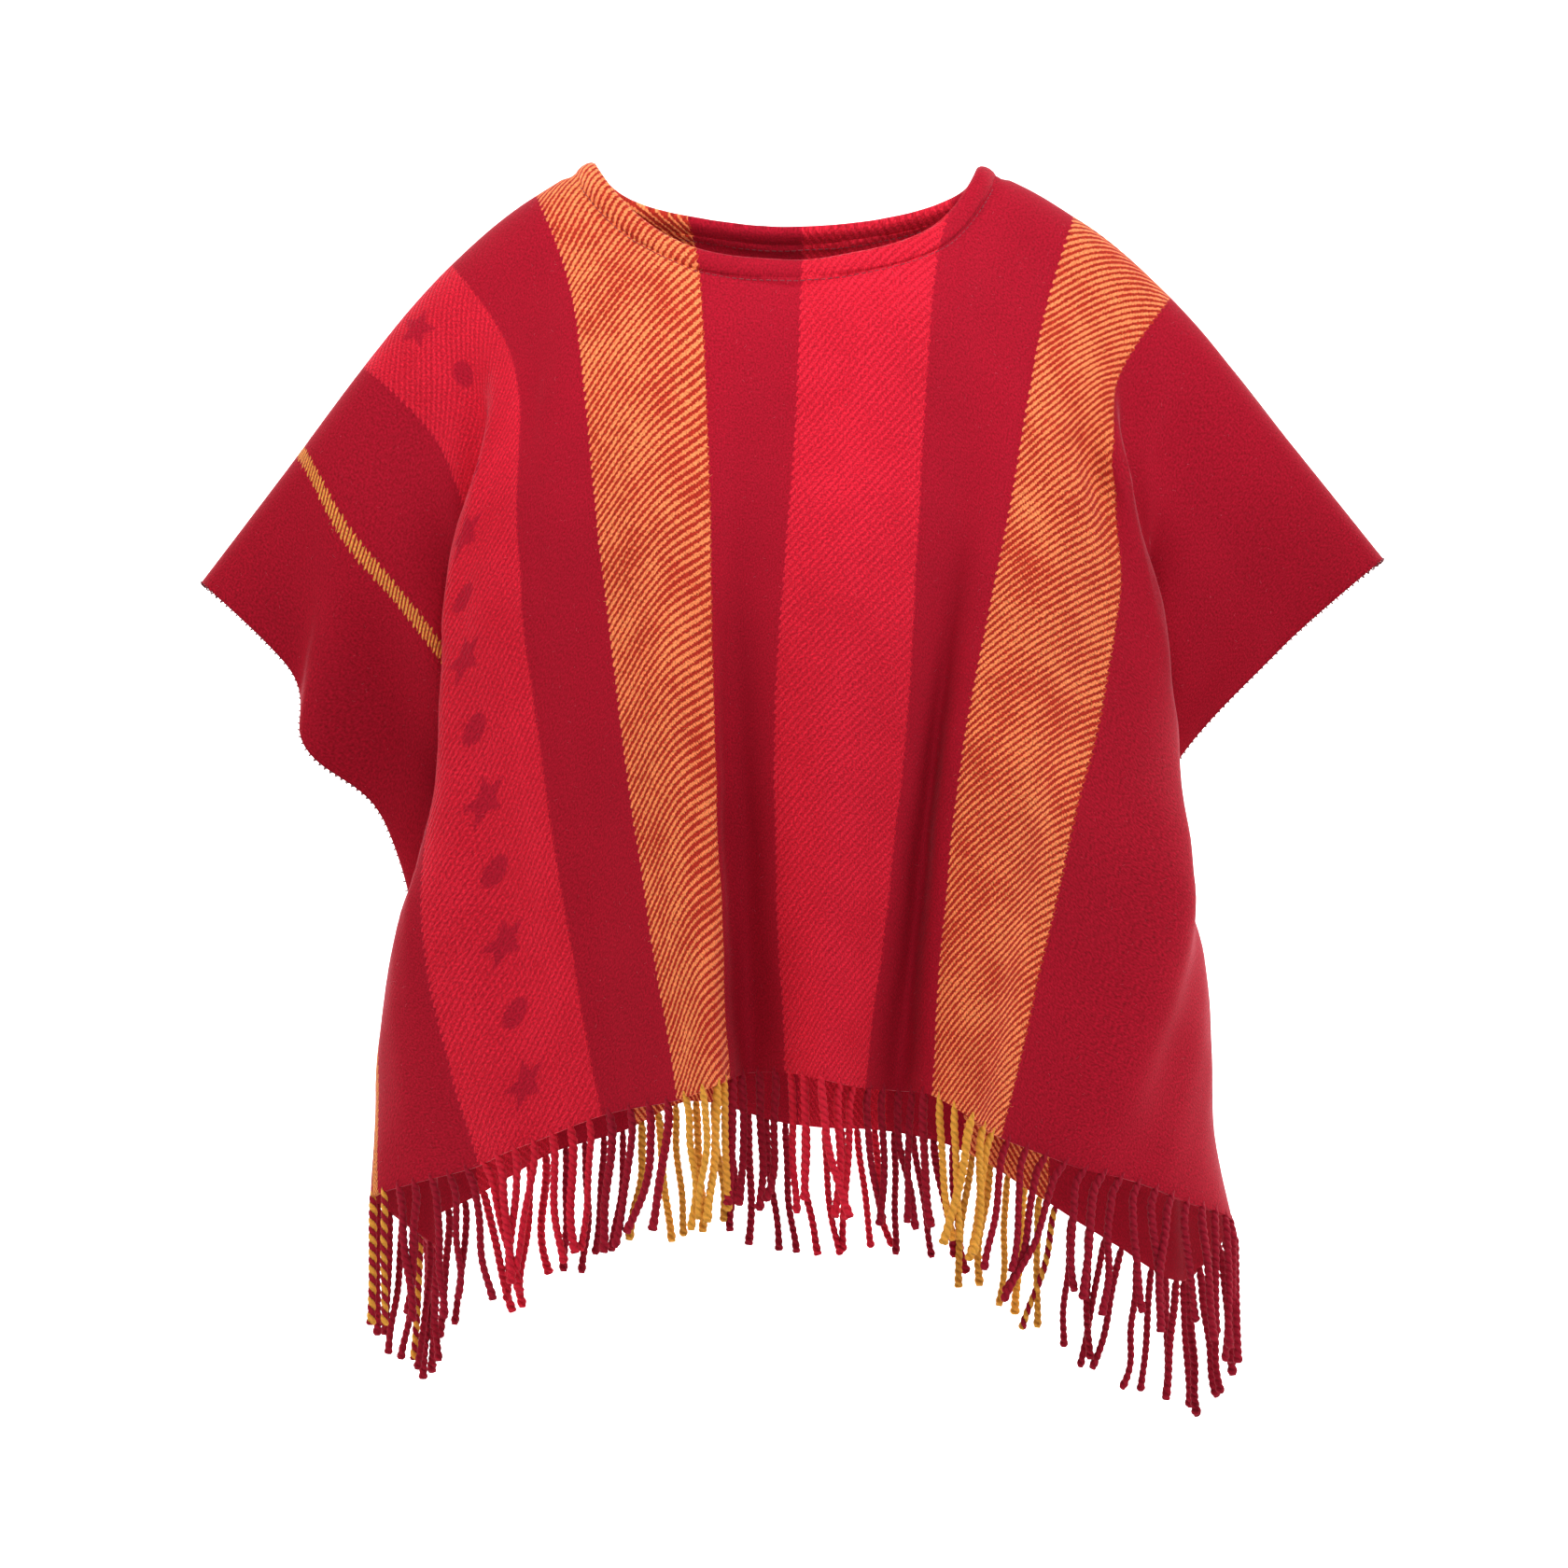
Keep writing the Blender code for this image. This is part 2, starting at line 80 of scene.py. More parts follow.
# One row for each lengthwise section: name, how far across it lies, its cloth from ridge to hem,
# then its plan place, x and y, at the yoke, the chest, the waist and the hem.
FRONT_SECTIONS = (
    ("selvedge_left", 0, 396, -261, 0, -208, 2, -194, 15, -190, 20),
    ("sleeve_left", 40, 411, -238, -14, -190, -8, -207, 4, -208, 0),
    ("thin_stripe", 82, 438, -222, -22, -166, -12, -212, -13, -219, -30),
    ("armpit_left", 112, 460, -203, -27, -150, -19, -206, -34, -196, -54),
    ("star_stripe_outer", 140, 459, -183, -31, -176, -26, -196, -47, -164, -76),
    ("side_crest_left", 160, 466, -172, -36, -182, -42, -176, -60, -148, -90),
    ("chest_left", 180, 474, -163, -40, -170, -60, -153, -72, -131, -98),
    ("star_stripe_inner", 215, 486, -148, -44, -144, -74, -127, -92, -99, -112),
    ("orange_left_outer", 275, 516, -116, -49, -103, -80, -87, -112, -57, -142),
    ("orange_left_crest", 311, 530, -82, -52, -73, -86, -64, -120, -42, -152),
    ("orange_left_inner", 347, 524, -50, -55, -43, -82, -41, -106, -32, -128),
    ("valley_left", 375, 517, -21, -58, -21, -80, -24, -92, -21, -106),
    ("red_outer", 404, 516, 5, -58, 1, -82, -8, -102, -2, -122),
    ("red_crest", 441, 526, 39, -58, 34, -87, 26, -117, 17, -144),
    ("red_inner", 479, 525, 77, -54, 68, -82, 60, -106, 37, -126),
    ("valley_right", 511, 512, 105, -50, 92, -74, 77, -90, 56, -108),
    ("orange_right_inner", 545, 500, 134, -46, 115, -78, 90, -108, 74, -130),
    ("orange_right_crest", 580, 496, 156, -46, 145, -80, 121, -116, 94, -146),
    ("orange_right_outer", 614, 485, 171, -42, 174, -58, 146, -100, 109, -124),
    ("side_crest_right", 640, 474, 183, -32, 195, -44, 178, -86, 131, -114),
    ("chest_right", 660, 471, 192, -26, 201, -24, 207, -70, 150, -106),
    ("armpit_right", 690, 456, 210, -22, 175, -18, 215, -46, 180, -88),
    ("sleeve_right", 720, 448, 226, -20, 180, -12, 222, -16, 210, -66),
    ("cuff_right", 750, 435, 243, -16, 188, -8, 217, 6, 232, -38),
    ("selvedge_right", 795, 422, 262, 0, 194, 4, 209, 20, 232, 8),
)
BACK_SECTIONS = (
    ("selvedge_left", 0, 396, -261, 0, -208, 2, -194, 15, -190, 20),
    ("sleeve_left", 40, 426, -238, 14, -189, 15, -189, 34, -196, 44),
    ("thin_stripe", 82, 452, -222, 22, -168, 26, -196, 43, -198, 62),
    ("star_stripe_outer", 140, 478, -183, 30, -176, 36, -182, 56, -172, 88),
    ("star_stripe_inner", 215, 508, -146, 38, -146, 62, -140, 82, -128, 108),
    ("orange_left_outer", 275, 530, -114, 42, -106, 70, -98, 96, -86, 118),
    ("orange_left_middle", 311, 537, -82, 45, -74, 76, -68, 98, -62, 120),
    ("middle", 399, 542, 0, 46, 0, 78, 0, 94, 0, 114),
    ("orange_right_inner", 545, 534, 130, 42, 118, 70, 104, 96, 96, 120),
    ("orange_right_outer", 614, 520, 168, 38, 164, 56, 154, 84, 142, 108),
    ("chest_right", 660, 506, 192, 28, 178, 34, 184, 62, 178, 92),
    ("sleeve_right", 720, 481, 226, 20, 185, 24, 203, 44, 210, 62),
    ("cuff_right", 750, 461, 243, 14, 188, 17, 206, 34, 216, 40),
    ("selvedge_right", 795, 422, 262, 0, 194, 4, 209, 20, 232, 8),
)

# The solids' own soft folds: half, name, where each starts and ends (across, along), its width,
# and how far it pushes the cloth in x, y and z at its end.
FOLDS = (
    ("front", "ripple_left_sleeve", 125, 20, -4, 120, 22, -20, -13, -3),
    ("front", "tuck_right_shoulder", 640, 26, 628, 110, 15, 3, -7, 0),
    ("back", "pleat_left", 190, 70, 205, 520, 24, 0, 11, 0),
    ("back", "pleat_middle_left", 330, 90, 318, 560, 26, 0, 12, 0),
    ("back", "pleat_middle_right", 462, 70, 470, 560, 27, 0, 13, 0),
    ("back", "pleat_right", 590, 80, 585, 540, 24, 0, 11, 0),
)

# Finer creases, given one by one: half, name, where each starts and ends (across, along), its
# width, and how far out (+) or in (-) it moves the cloth at its middle.
CREASES = (
    ("front", "shoulder_dent_left", 262, 40, 205, 150, 20, -3.5),
    ("front", "shoulder_roll_left", 236, 60, 176, 172, 15, 2.6),
    ("front", "armpit_pull_left", 205, 168, 262, 250, 15, -2.4),
    ("front", "chest_hollow_left", 330, 150, 318, 300, 24, -2.2),
    ("front", "yoke_dent_right", 566, 95, 612, 160, 15, -3.2),
    ("front", "yoke_roll_right", 560, 128, 604, 190, 14, 2.4),
    ("front", "armpit_pull_right", 640, 170, 590, 262, 15, -2.6),
    ("front", "armpit_roll_right", 652, 205, 604, 300, 14, 2.2),
    ("front", "sleeve_trough_right", 728, 30, 770, 150, 18, -2.4),
    ("front", "armpit_valley_top_left", 190, 52, 122, 160, 12, -9.0),
    ("front", "armpit_valley_left", 130, 70, 84, 250, 17, -13.0),
    ("front", "armpit_edge_left", 200, 70, 160, 200, 9, 3.6),
    ("front", "armpit_valley_top_right", 616, 44, 668, 156, 11, -7.5),
    ("front", "armpit_edge_right", 600, 70, 640, 190, 9, 3.4),
    ("front", "armpit_valley_right", 676, 84, 712, 240, 15, -9.0),
    ("front", "sleeve_crease_left", 26, 130, 70, 215, 9, -2.6),
    ("front", "sleeve_trough_left", 84, 60, 30, 165, 16, -2.6),
    ("front", "hip_trough_left", 246, 300, 240, 480, 18, -2.0),
    ("front", "hip_trough_right", 668, 300, 690, 450, 18, -2.4),
    ("front", "red_trough", 456, 240, 470, 500, 12, -2.0),
    ("front", "crimson_trough", 388, 130, 380, 300, 14, -1.6),
    ("front", "crimson_valley", 366, 130, 360, 530, 9, -3.6),
    ("back", "shoulder_dent_left", 250, 50, 196, 170, 20, -3.2),
    ("back", "shoulder_dent_right", 560, 50, 612, 170, 20, -3.4),
    ("back", "armpit_pull_left", 150, 200, 230, 300, 16, -2.6),
    ("back", "armpit_pull_right", 664, 190, 590, 300, 16, -2.8),
    ("back", "middle_trough", 398, 160, 402, 500, 18, -2.4),
    ("back", "hip_trough_left", 262, 260, 258, 500, 16, -2.2),
    ("back", "hip_trough_right", 530, 260, 540, 510, 16, -2.2),
    ("back", "sleeve_trough_left", 84, 60, 34, 170, 16, -2.4),
    ("back", "sleeve_trough_right", 730, 60, 768, 170, 16, -2.4),
)
# Slow unevenness of hand-hung cloth: wave across, wave along, phase, how far it moves the cloth.
UNEVENNESS = ((131, 210, 0.4, 0.7), (83, 149, 2.1, 0.5), (57, 97, 4.0, 0.35), (37, 61, 1.2, 0.2))
UNEVEN_FROM = 60.0
# How bluntly a crease ends, and the low banks beside it: their share of it and how far out.
CREASE_ENDS = 1.3
BANK_SIZE = 0.3
BANK_AT = 1.9

# How the cloth turns over the ridge and falls in at the neck, and how far the cuffs stand open.
RIDGE_TURN = 0.95
NECK_TURN = 0.5
NECK_FALL = 0.6
NECK_REACH = 95.0
CUFF_OPEN = 9.0
CUFF_REACH = 50.0
SEAM_TOP = {"left": 185.0, "right": 160.0}
# The neck's cut: a wide, shallow slot, rounder the lower its roundness is.
NECK_MIDDLE = 399.0
NECK_HALF_WIDTH = 89.0
NECK_DEPTH = {"front": 89.5, "back": 42.0}
NECK_ROUNDNESS = {"front": 2.75, "back": 3.0}
NECK_TILT = {"front": 0.0, "back": -0.25}
# The front of the hem runs straight over the fold in the middle: how far, where and how wide.
NECK_RISE = 3.2
NECK_RISE_AT = 404.0
NECK_RISE_WIDTH = 26.0
NECK_HEM_WIDTH = 11.5
CURVE_SAMPLES = 4001
PROBE = 0.4
# The seam pulls the cloth in along the neck hem: how deep, how far out, how wide, and its puckers.
GROOVE_DEPTH = 1.5
GROOVE_AT = 1.4
GROOVE_WIDTH = 2.3
PUCKER_SIZE = 0.28
PUCKER_REACH = 9.0
RIDGE_BLEND = 14.0

# The stripes of the cloth: name, where each ends, the colour of its warp.
STRIPES = (
    ("crimson_1", 140, "crimson"),
    ("red_star", 215, "red"),
    ("crimson_2", 275, "crimson"),
    ("yellow_left", 347, "yellow"),
    ("crimson_3", 404, "crimson"),
    ("red_middle", 479, "red"),
    ("crimson_4", 545, "crimson"),
    ("yellow_right", 614, "yellow"),
    ("crimson_5", 795, "crimson"),
)
THIN_LINE = (80.4, 84.8)
MOTIF_ACROSS = 177.5
# Where the woven stars lie along the front. A dot lies half way between two of them.
STARS_ALONG = (23, 90, 150, 214, 290, 366, 442)
STAR_REPEAT = 76.0

CLOTH_ROWS = 96
CLOTH_COLUMNS = {"left": 62, "neck": 60, "right": 61}
ROW_CROWDING = 1.5
WELD_DISTANCE = 5e-5
HEM_SAMPLES = 500
AREA_SAMPLES = 400

# The neck's roll: sides of its section, how far its fullness leans to the neck, steps round.
ROLL_SIDES = 14
ROLL_LEAN = 0.3
ROLL_PUCKER = 0.06
ROLL_STEPS = {"front": 130, "back": 110}
ROLL_LEAST = 0.2
ROLL_WELD = 1e-6

# Fringe, in millimetres: its pitch, how far its roots reach into the hem and stand out of it, how
# far apart its plies lie, and how near a yellow stripe a crimson strand takes a yellow ply.
FRINGE_PITCH = 11.7
FRINGE_SEED = 7
STRAND_STEP = 1.2
ROOT_INSIDE = 3.5
ROOT_LIFT = 0.9
ROOT_SHARE = 0.1
PLY_OFFSET = 0.15
PLY_REACH = 6.2
# Where along a strand its points lie, and its fullness: a pointed root, a blunt flared end.
STRAND_SHARES = (
    0, 0.03, 0.07, 0.11, 0.16, 0.22, 0.28, 0.34, 0.4, 0.46, 0.52, 0.58, 0.64, 0.7, 0.76, 0.82,
    0.87, 0.91, 0.94, 0.965, 0.985, 1,
)
TAPER_AT = (0, 0.03, 0.07, 0.13, 0.3, 0.85, 0.93, 0.97, 0.985, 1)
TAPER = (0.25, 0.55, 0.9, 1.04, 1, 0.97, 1.03, 1.18, 1.16, 0.8)
# How a strand hangs: stiff where it leaves the hem, then leaning, rippled and curled at its tip.
STIFF_LENGTH = 9.0
LEAN_DRAWN = 0.72
LEAN_OUTER = 0.7
LEAN_WAVE = 0.55
LEAN_WAVE_RUN = 49
SWING_DRAWN = 0.4
SWING_TURNS = 0.8
RIPPLE_SIZES = (0.7, 2.6)
RIPPLE_LENGTHS = (42, 74)
CURL_SIZE = 3.4
FULLNESS = (0.88, 1.1)
STRAND_SIDES = 7

# Stitches, in millimetres: the width, height and thread of one, and the step to the next.
STITCH_SIZE = {"cuff": (3.6, 1.3, 0.45), "seam": (4.2, 0.9, 0.4), "neck": (2.5, 0.15, 0.28)}
STITCH_STEP = {"cuff": 3.6, "seam": 5.0, "neck": 3.6}
EDGE_INSET = 0.3
EDGE_SAMPLES = 160
CUFF_FROM = 3.0
SEAM_SHORT = 4
SEAM_LIFT = 0.8
NECK_SAMPLES = 400
NECK_STITCH_LIFT = 1.25

# The weave: single floats, dashes of the thin line, and the noises of the nap by name, scale
# for each millimetre, and detail.
FLOAT_LENGTH = 2.7
DASH_PITCH = 2.3
# How the weft skews as the cloth hangs: how far, its middle and reach across, and from where.
SKEW_SIZE = 133.0
SKEW_MIDDLE = 441.0
SKEW_REACH = 190.0
SKEW_FROM = 180.0
NAP_NOISES = (
    ("fibre", 0.9, 4.0),
    ("thread", 0.42, 2.0),
    ("patch", 0.035, 3.0),
    ("blot", 0.011, 2.0),
)
# The woven motifs, in millimetres. The loom moves their outline in steps of a few threads.
DOT_RADIUS = 6.9
STAR_TIP = 12.2
STAR_INNER = 6.0
MOTIF_STEP = 1.3
MOTIF_BLUR = 0.7
MOTIF_ROOM = 6
# Raised fibres, drawn thicker than wool, 0.13 mm, so that they show at all.
FIBRE_DENSITY = 7000.0
FIBRE_SEED = 3
FIBRE_LENGTH = 2.6
FIBRE_RADIUS = 0.065
FIBRE_RISE = 0.45
FIBRE_TILT = 0.8
FIBRE_SIZES = (0.5, 1.3)

# The camera and the paper sweep, in metres.
CAMERA_AT = (-0.0025, -4.0, -0.329)
FRAME_WIDTH = 0.840
SENSOR = 36.0
FAR_CLIP = 50.0
FLOOR_Z = -0.87
SWEEP_SIZE = 7.0
SWEEP_AWAY = 4.9
SWEEP_CURVE = 1.3
SWEEP_STEPS = 13
WORLD_LIGHT = 0.12
# Studio lamps: name, place, aim, size in metres, spread in degrees, power in watts, colour. The
# last two whiten the backdrop.
LAMPS = (
    ("side_left", (-2.4, -0.9, 1.7), (0.0, 0.0, -0.2), 1.4, 180, 49.0, "#fffaf4"),
    ("side_right", (2.4, -0.9, 1.6), (0.0, 0.0, -0.2), 1.4, 180, 48.0, "#fbfbff"),
    ("front", (0.3, -3.0, 1.0), (0.0, 0.05, -0.05), 1.0, 180, 7.0, "#ffffff"),
    ("neck", (0.03, -1.4, 0.45), (0.01, 0.04, -0.015), 0.2, 26, 0.27, "#ffffff"),
    ("top", (0.1, -1.5, 1.8), (0.0, 0.05, -0.05), 1.0, 180, 19.0, "#ffffff"),
    ("rim_left", (-2.2, 1.5, 0.6), (0.0, 0.0, -0.33), 1.2, 180, 17.0, "#ffffff"),
    ("rim_right", (2.2, 1.4, 0.4), (0.0, 0.0, -0.33), 1.2, 180, 30.0, "#ffffff"),
    ("backdrop_left", (-2.6, 2.5, 1.7), (-0.7, 4.8, -0.4), 1.6, 180, 245.0, "#ffffff"),
    ("backdrop_right", (2.6, 2.5, 1.7), (0.7, 4.8, -0.4), 1.6, 180, 245.0, "#ffffff"),
)


def linear(code):
    """An sRGB hex colour as the linear red, green and blue that Blender's sockets take."""
    values = [int(code[i : i + 2], 16) / 255 for i in (1, 3, 5)]
    return tuple(v / 12.92 if v <= 0.04045 else ((v + 0.055) / 1.055) ** 2.4 for v in values)


def side_of(half):
    """-1 for the front, which lies towards -Y, and 1 for the back."""
    return -1.0 if half == "front" else 1.0


def slopes(at, values):
    """The slope of a smooth curve at each of its points."""
    step = np.diff(at)
    rise = np.diff(values, axis=0) / step[:, None]
    middle = rise[:-1] * step[1:, None] + rise[1:] * step[:-1, None]
    middle = middle / (step[1:] + step[:-1])[:, None]
    return np.vstack((rise[:1], middle, rise[-1:]))


def hermite(start, end, slope_start, slope_end, step, share):
    """A point of the curve between two points, at a share of the step between them."""
    rest = 1 - share
    return (
        (1 + 2 * share) * rest**2 * start
        + share * rest**2 * step * slope_start
        + share**2 * (3 - 2 * share) * end
        - share**2 * rest * step * slope_end
    )


def along_curve(at, values, slope, where):
    """The curve through a table's points, read at many places at once."""
    k = np.clip(np.searchsorted(at, where, side="right") - 1, 0, len(at) - 2)
    step = (at[k + 1] - at[k])[:, None]
    share = (where - at[k])[:, None] / step
    return hermite(values[k], values[k + 1], slope[k], slope[k + 1], step, share)


def station_places(length):
    """How far along the cloth the ridge, the three stations and the hem lie."""
    columns = [np.zeros_like(length)] + [np.full_like(length, s) for s in STATIONS] + [length]
    return np.column_stack(columns)


def hung_sections(rows):
    """Each section's places across, its length and its five points, from ridge to hem."""
    across = np.array([row[1] for row in rows], float)
    length = np.array([row[2] for row in rows], float)
    plan = np.array([row[3:] for row in rows], float).reshape(len(rows), 4, 2)
    ridge = np.array(RIDGE, float)
    top = along_curve(ridge[:, 0], ridge[:, 1:], slopes(ridge[:, 0], ridge[:, 1:]), across)
    points = np.zeros((len(rows), 5, 3))
    points[:, 0, 0] = top[:, 0]
    points[:, 0, 2] = top[:, 1]
    points[:, 1:, :2] = plan
    at = station_places(length)
    for k, straightness in enumerate(STRAIGHTNESS):
        chord = straightness * (at[:, k + 1] - at[:, k])
        sideways = np.sum((points[:, k + 1, :2] - points[:, k, :2]) ** 2, axis=1)
        drop = np.sqrt(np.maximum(chord**2 - sideways, (STEEPEST * chord) ** 2))
        points[:, k + 1, 2] = points[:, k, 2] - drop
    return across, length, points


def beside_line(across, along, start, end):
    """How far along a line on the cloth each point lies, as a share, and how far beside it."""
    here = np.column_stack((across, along))
    run = np.array(end, float) - np.array(start, float)
    share = (here - start) @ run / (run @ run)
    return share, np.linalg.norm(here - start - share[:, None] * run, axis=1), np.linalg.norm(run)


class Half:
    """The front or the back of the cloth, as a surface over (across, along)."""

    def __init__(self, name, rows, other_rows):
        self.name = name
        self.across, self.length, self.points = hung_sections(rows)
        self.slope = slopes(self.across, self.points.reshape(len(rows), -1))
        self.length_slope = slopes(self.across, self.length[:, None])
        other_across, _, other_points = hung_sections(other_rows)
        other = slopes(other_across, other_points.reshape(len(other_rows), -1))
        for end in (0, -1):
            shared = (self.slope[end] - other[end]) / 2
            self.slope[end, FROM_CHEST:] = shared[FROM_CHEST:]

    def length_at(self, across):
        """The cloth from ridge to hem at these places across."""
        return along_curve(self.across, self.length[:, None], self.length_slope, across)[:, 0]

    def plain(self, across, along):
        """Points of the solids' middle surface, in millimetres."""
        flat = self.points.reshape(len(self.points), -1)
        here = along_curve(self.across, flat, self.slope, across).reshape(-1, 5, 3)
        places = station_places(self.length_at(across))
        step = np.diff(places, axis=1)[:, :, None]
        rise = np.diff(here, axis=1) / step
        slope = np.empty_like(here)
        middle = rise[:, :-1] * step[:, 1:] + rise[:, 1:] * step[:, :-1]
        slope[:, 1:-1] = middle / (step[:, 1:] + step[:, :-1])
        near_neck = np.clip(1 - ((across - NECK_MIDDLE) / NECK_REACH) ** 2, 0, 1)
        turn = RIDGE_TURN + (NECK_TURN - RIDGE_TURN) * near_neck
        slope[:, 0, 0] = 0.0
        slope[:, 0, 1] = side_of(self.name) * turn
        slope[:, 0, 2] = -NECK_FALL * near_neck
        slope[:, -1] = 1.5 * rise[:, -1] - 0.5 * slope[:, -2]
        k = np.clip((along[:, None] >= places[:, :-1]).sum(axis=1) - 1, 0, 3)
        i = np.arange(len(across))
        share = (along - places[i, k])[:, None] / step[i, k]
        points = hermite(here[i, k], here[i, k + 1], slope[i, k], slope[i, k + 1], step[i, k], share)
        points[:, 1] += side_of(self.name) * self.cuff_opening(across, along)
        return points + self.folds(across, along)

    def cuff_opening(self, across, along):
        """How far each half stands away from the other at the cuffs."""
        total = np.zeros_like(across)
        for side, from_edge in (("left", across), ("right", CLOTH_WIDTH - across)):
            share = np.clip(along / SEAM_TOP[side], 0, 1)
            total += CUFF_OPEN * np.sin(math.pi * share) * np.exp(-from_edge / CUFF_REACH)
        return total

    def folds(self, across, along):
        """How far the soft folds push the cloth in x, y and z."""
        push = np.zeros((len(across), 3))
        for half, _, across_0, along_0, across_1, along_1, width, *reach in FOLDS:
            if half != self.name:
                continue
            line = beside_line(across, along, (across_0, along_0), (across_1, along_1))
            share, beside, run = line
            grows = np.clip(share, 0, 1)
            grows = grows * grows * (3 - 2 * grows)
            fades = np.exp(-(np.maximum(share - 1, 0) * run / width) ** 2)
            push += (grows * fades * np.exp(-((beside / width) ** 2)))[:, None] * reach
        return push

    def creases(self, across, along):
        """How far out of the smooth surface the cloth lies, in millimetres."""
        out = np.zeros(len(across))
        for half, _, across_0, along_0, across_1, along_1, width, depth in CREASES:
            if half != self.name:
                continue
            line = beside_line(across, along, (across_0, along_0), (across_1, along_1))
            share, beside, run = line
            lengthwise = np.sin(math.pi * np.clip(share, 0, 1)) ** CREASE_ENDS
            trough = np.exp(-((beside / width) ** 2))
            banks = BANK_SIZE * np.exp(-(((beside - BANK_AT * width) / width) ** 2))
            out += depth * lengthwise * (trough - banks)
        fade = np.clip(along / UNEVEN_FROM, 0, 1) ** 2
        # The two halves meet in the side seam, so the waves die away towards it.
        from_edge = np.minimum(across, CLOTH_WIDTH - across)
        fade *= np.clip(from_edge / UNEVEN_FROM, 0, 1)
        signed = -side_of(self.name) * along
        for wave_across, wave_along, phase, size in UNEVENNESS:
            turn = across / wave_across + signed / wave_along
            other = across / wave_across - signed / wave_along
            out += fade * size * np.sin(2 * math.pi * turn + phase) * np.cos(2 * math.pi * other)
        beyond = neck_distance(self.name, across, along) - NECK_HEM_WIDTH
        out -= GROOVE_DEPTH * np.exp(-(((beyond - GROOVE_AT) / GROOVE_WIDTH) ** 2))
        gathers = np.sin(across / 2.3 + 1.7 * np.sin(along / 9.0)) * np.cos(along / 3.1)
        return out + PUCKER_SIZE * gathers * np.exp(-((beyond / PUCKER_REACH) ** 2))

    def normals(self, across, along):
        """Which way the cloth faces outwards."""
        before = np.clip(across - PROBE, 0, CLOTH_WIDTH)
        after = np.clip(across + PROBE, 0, CLOTH_WIDTH)
        sideways = self.plain(after, along) - self.plain(before, along)
        longest = self.length_at(across)
        above = np.clip(along - PROBE, 0, longest)
        below = np.clip(along + PROBE, 0, longest)
        down = self.plain(across, below) - self.plain(across, above)
        facing = side_of(self.name) * np.cross(sideways, down)
        facing /= np.linalg.norm(facing, axis=1)[:, None]
        # At the ridge both halves face straight out of it, so that they meet.
        straight = np.column_stack((-sideways[:, 2], np.zeros(len(across)), sideways[:, 0]))
        straight /= np.linalg.norm(straight, axis=1)[:, None]
        near = np.clip(1 - along / RIDGE_BLEND, 0, 1)[:, None]
        facing = (1 - near) * facing + near * straight
        return facing / np.linalg.norm(facing, axis=1)[:, None]

    def at(self, across, along, lift=0.0):
        """Points of the dressed cloth, creases included, lifted off its middle surface."""
        out = self.creases(across, along) + lift
        return self.plain(across, along) + self.normals(across, along) * out[:, None]


def neck_curve(half, margin, turn):
    """The neck's cut on one half at these turns, 0 at its left end and pi at its right."""
    bend = 2 / NECK_ROUNDNESS[half]
    cosine = np.sign(np.cos(turn)) * np.abs(np.cos(turn)) ** bend
    across = NECK_MIDDLE - (NECK_HALF_WIDTH + margin) * cosine
    along = (NECK_DEPTH[half] + margin) * np.abs(np.sin(turn)) ** bend
    along *= 1 - NECK_TILT[half] * cosine
    if half == "front":
        along -= NECK_RISE * np.exp(-(((across - NECK_RISE_AT) / NECK_RISE_WIDTH) ** 2))
    return across, along


def neck_distance(half, across, along):
    """Roughly how far outside the neck's cut a place lies, in millimetres."""
    beside = (across - NECK_MIDDLE) / NECK_HALF_WIDTH
    tilt = 1 + NECK_TILT[half] * np.clip(beside, -1, 1)
    down = along / (NECK_DEPTH[half] * tilt)
    bend = NECK_ROUNDNESS[half]
    size = (np.abs(beside) ** bend + np.abs(down) ** bend) ** (1 / bend)
    return np.hypot(across - NECK_MIDDLE, along) * (1 - 1 / np.maximum(size, 0.01))


def even_turns(half, margin, count):
    """Turns of the neck curve that lie evenly along it."""
    turn = np.linspace(0, math.pi, CURVE_SAMPLES)
    across, along = neck_curve(half, margin, turn)
    run = np.concatenate(([0], np.cumsum(np.hypot(np.diff(across), np.diff(along)))))
    return np.interp(np.linspace(0, run[-1], count + 1), run, turn)


def halves():
    """The front and the back of the cloth."""
    return (
        Half("front", FRONT_SECTIONS, BACK_SECTIONS),
        Half("back", BACK_SECTIONS, FRONT_SECTIONS),
    )


def settings():
    """The cloth's and the fringe's settings, as the sidebar shows them."""
    return bpy.context.scene.poncho_cloth, bpy.context.scene.poncho_fringe


def mesh_object(name, points, faces, material=None):
    """A smooth mesh object at the origin, from points in millimetres."""
    mesh = bpy.data.meshes.new(name)
    mesh.from_pydata([tuple(p) for p in np.asarray(points) * MM], [], faces)
    mesh.shade_smooth()
    if material:
        mesh.materials.append(material)
    made = bpy.data.objects.new(name, mesh)
    bpy.context.scene.collection.objects.link(made)
    return made


def edit_mesh(mesh, change):
    """Changes a mesh through bmesh."""
    bm = bmesh.new()
    bm.from_mesh(mesh)
    change(bm)
    bm.to_mesh(mesh)
    bm.free()


def face_outwards(obj):
    """Recalculates the normals of a closed mesh."""
    edit_mesh(obj.data, lambda bm: bmesh.ops.recalc_face_normals(bm, faces=bm.faces))


def weld(obj, distance):
    """Joins the points of a mesh that lie this close together, in metres."""
    edit_mesh(obj.data, lambda bm: bmesh.ops.remove_doubles(bm, verts=bm.verts, dist=distance))


def set_uv(mesh, places):
    """The cloth's own UV map, in metres: across, and along (front +, back -), per corner."""
    layer = mesh.uv_layers.new(name="cloth")
    layer.data.foreach_set("uv", (np.asarray(places) * MM).astype(np.float32).ravel())


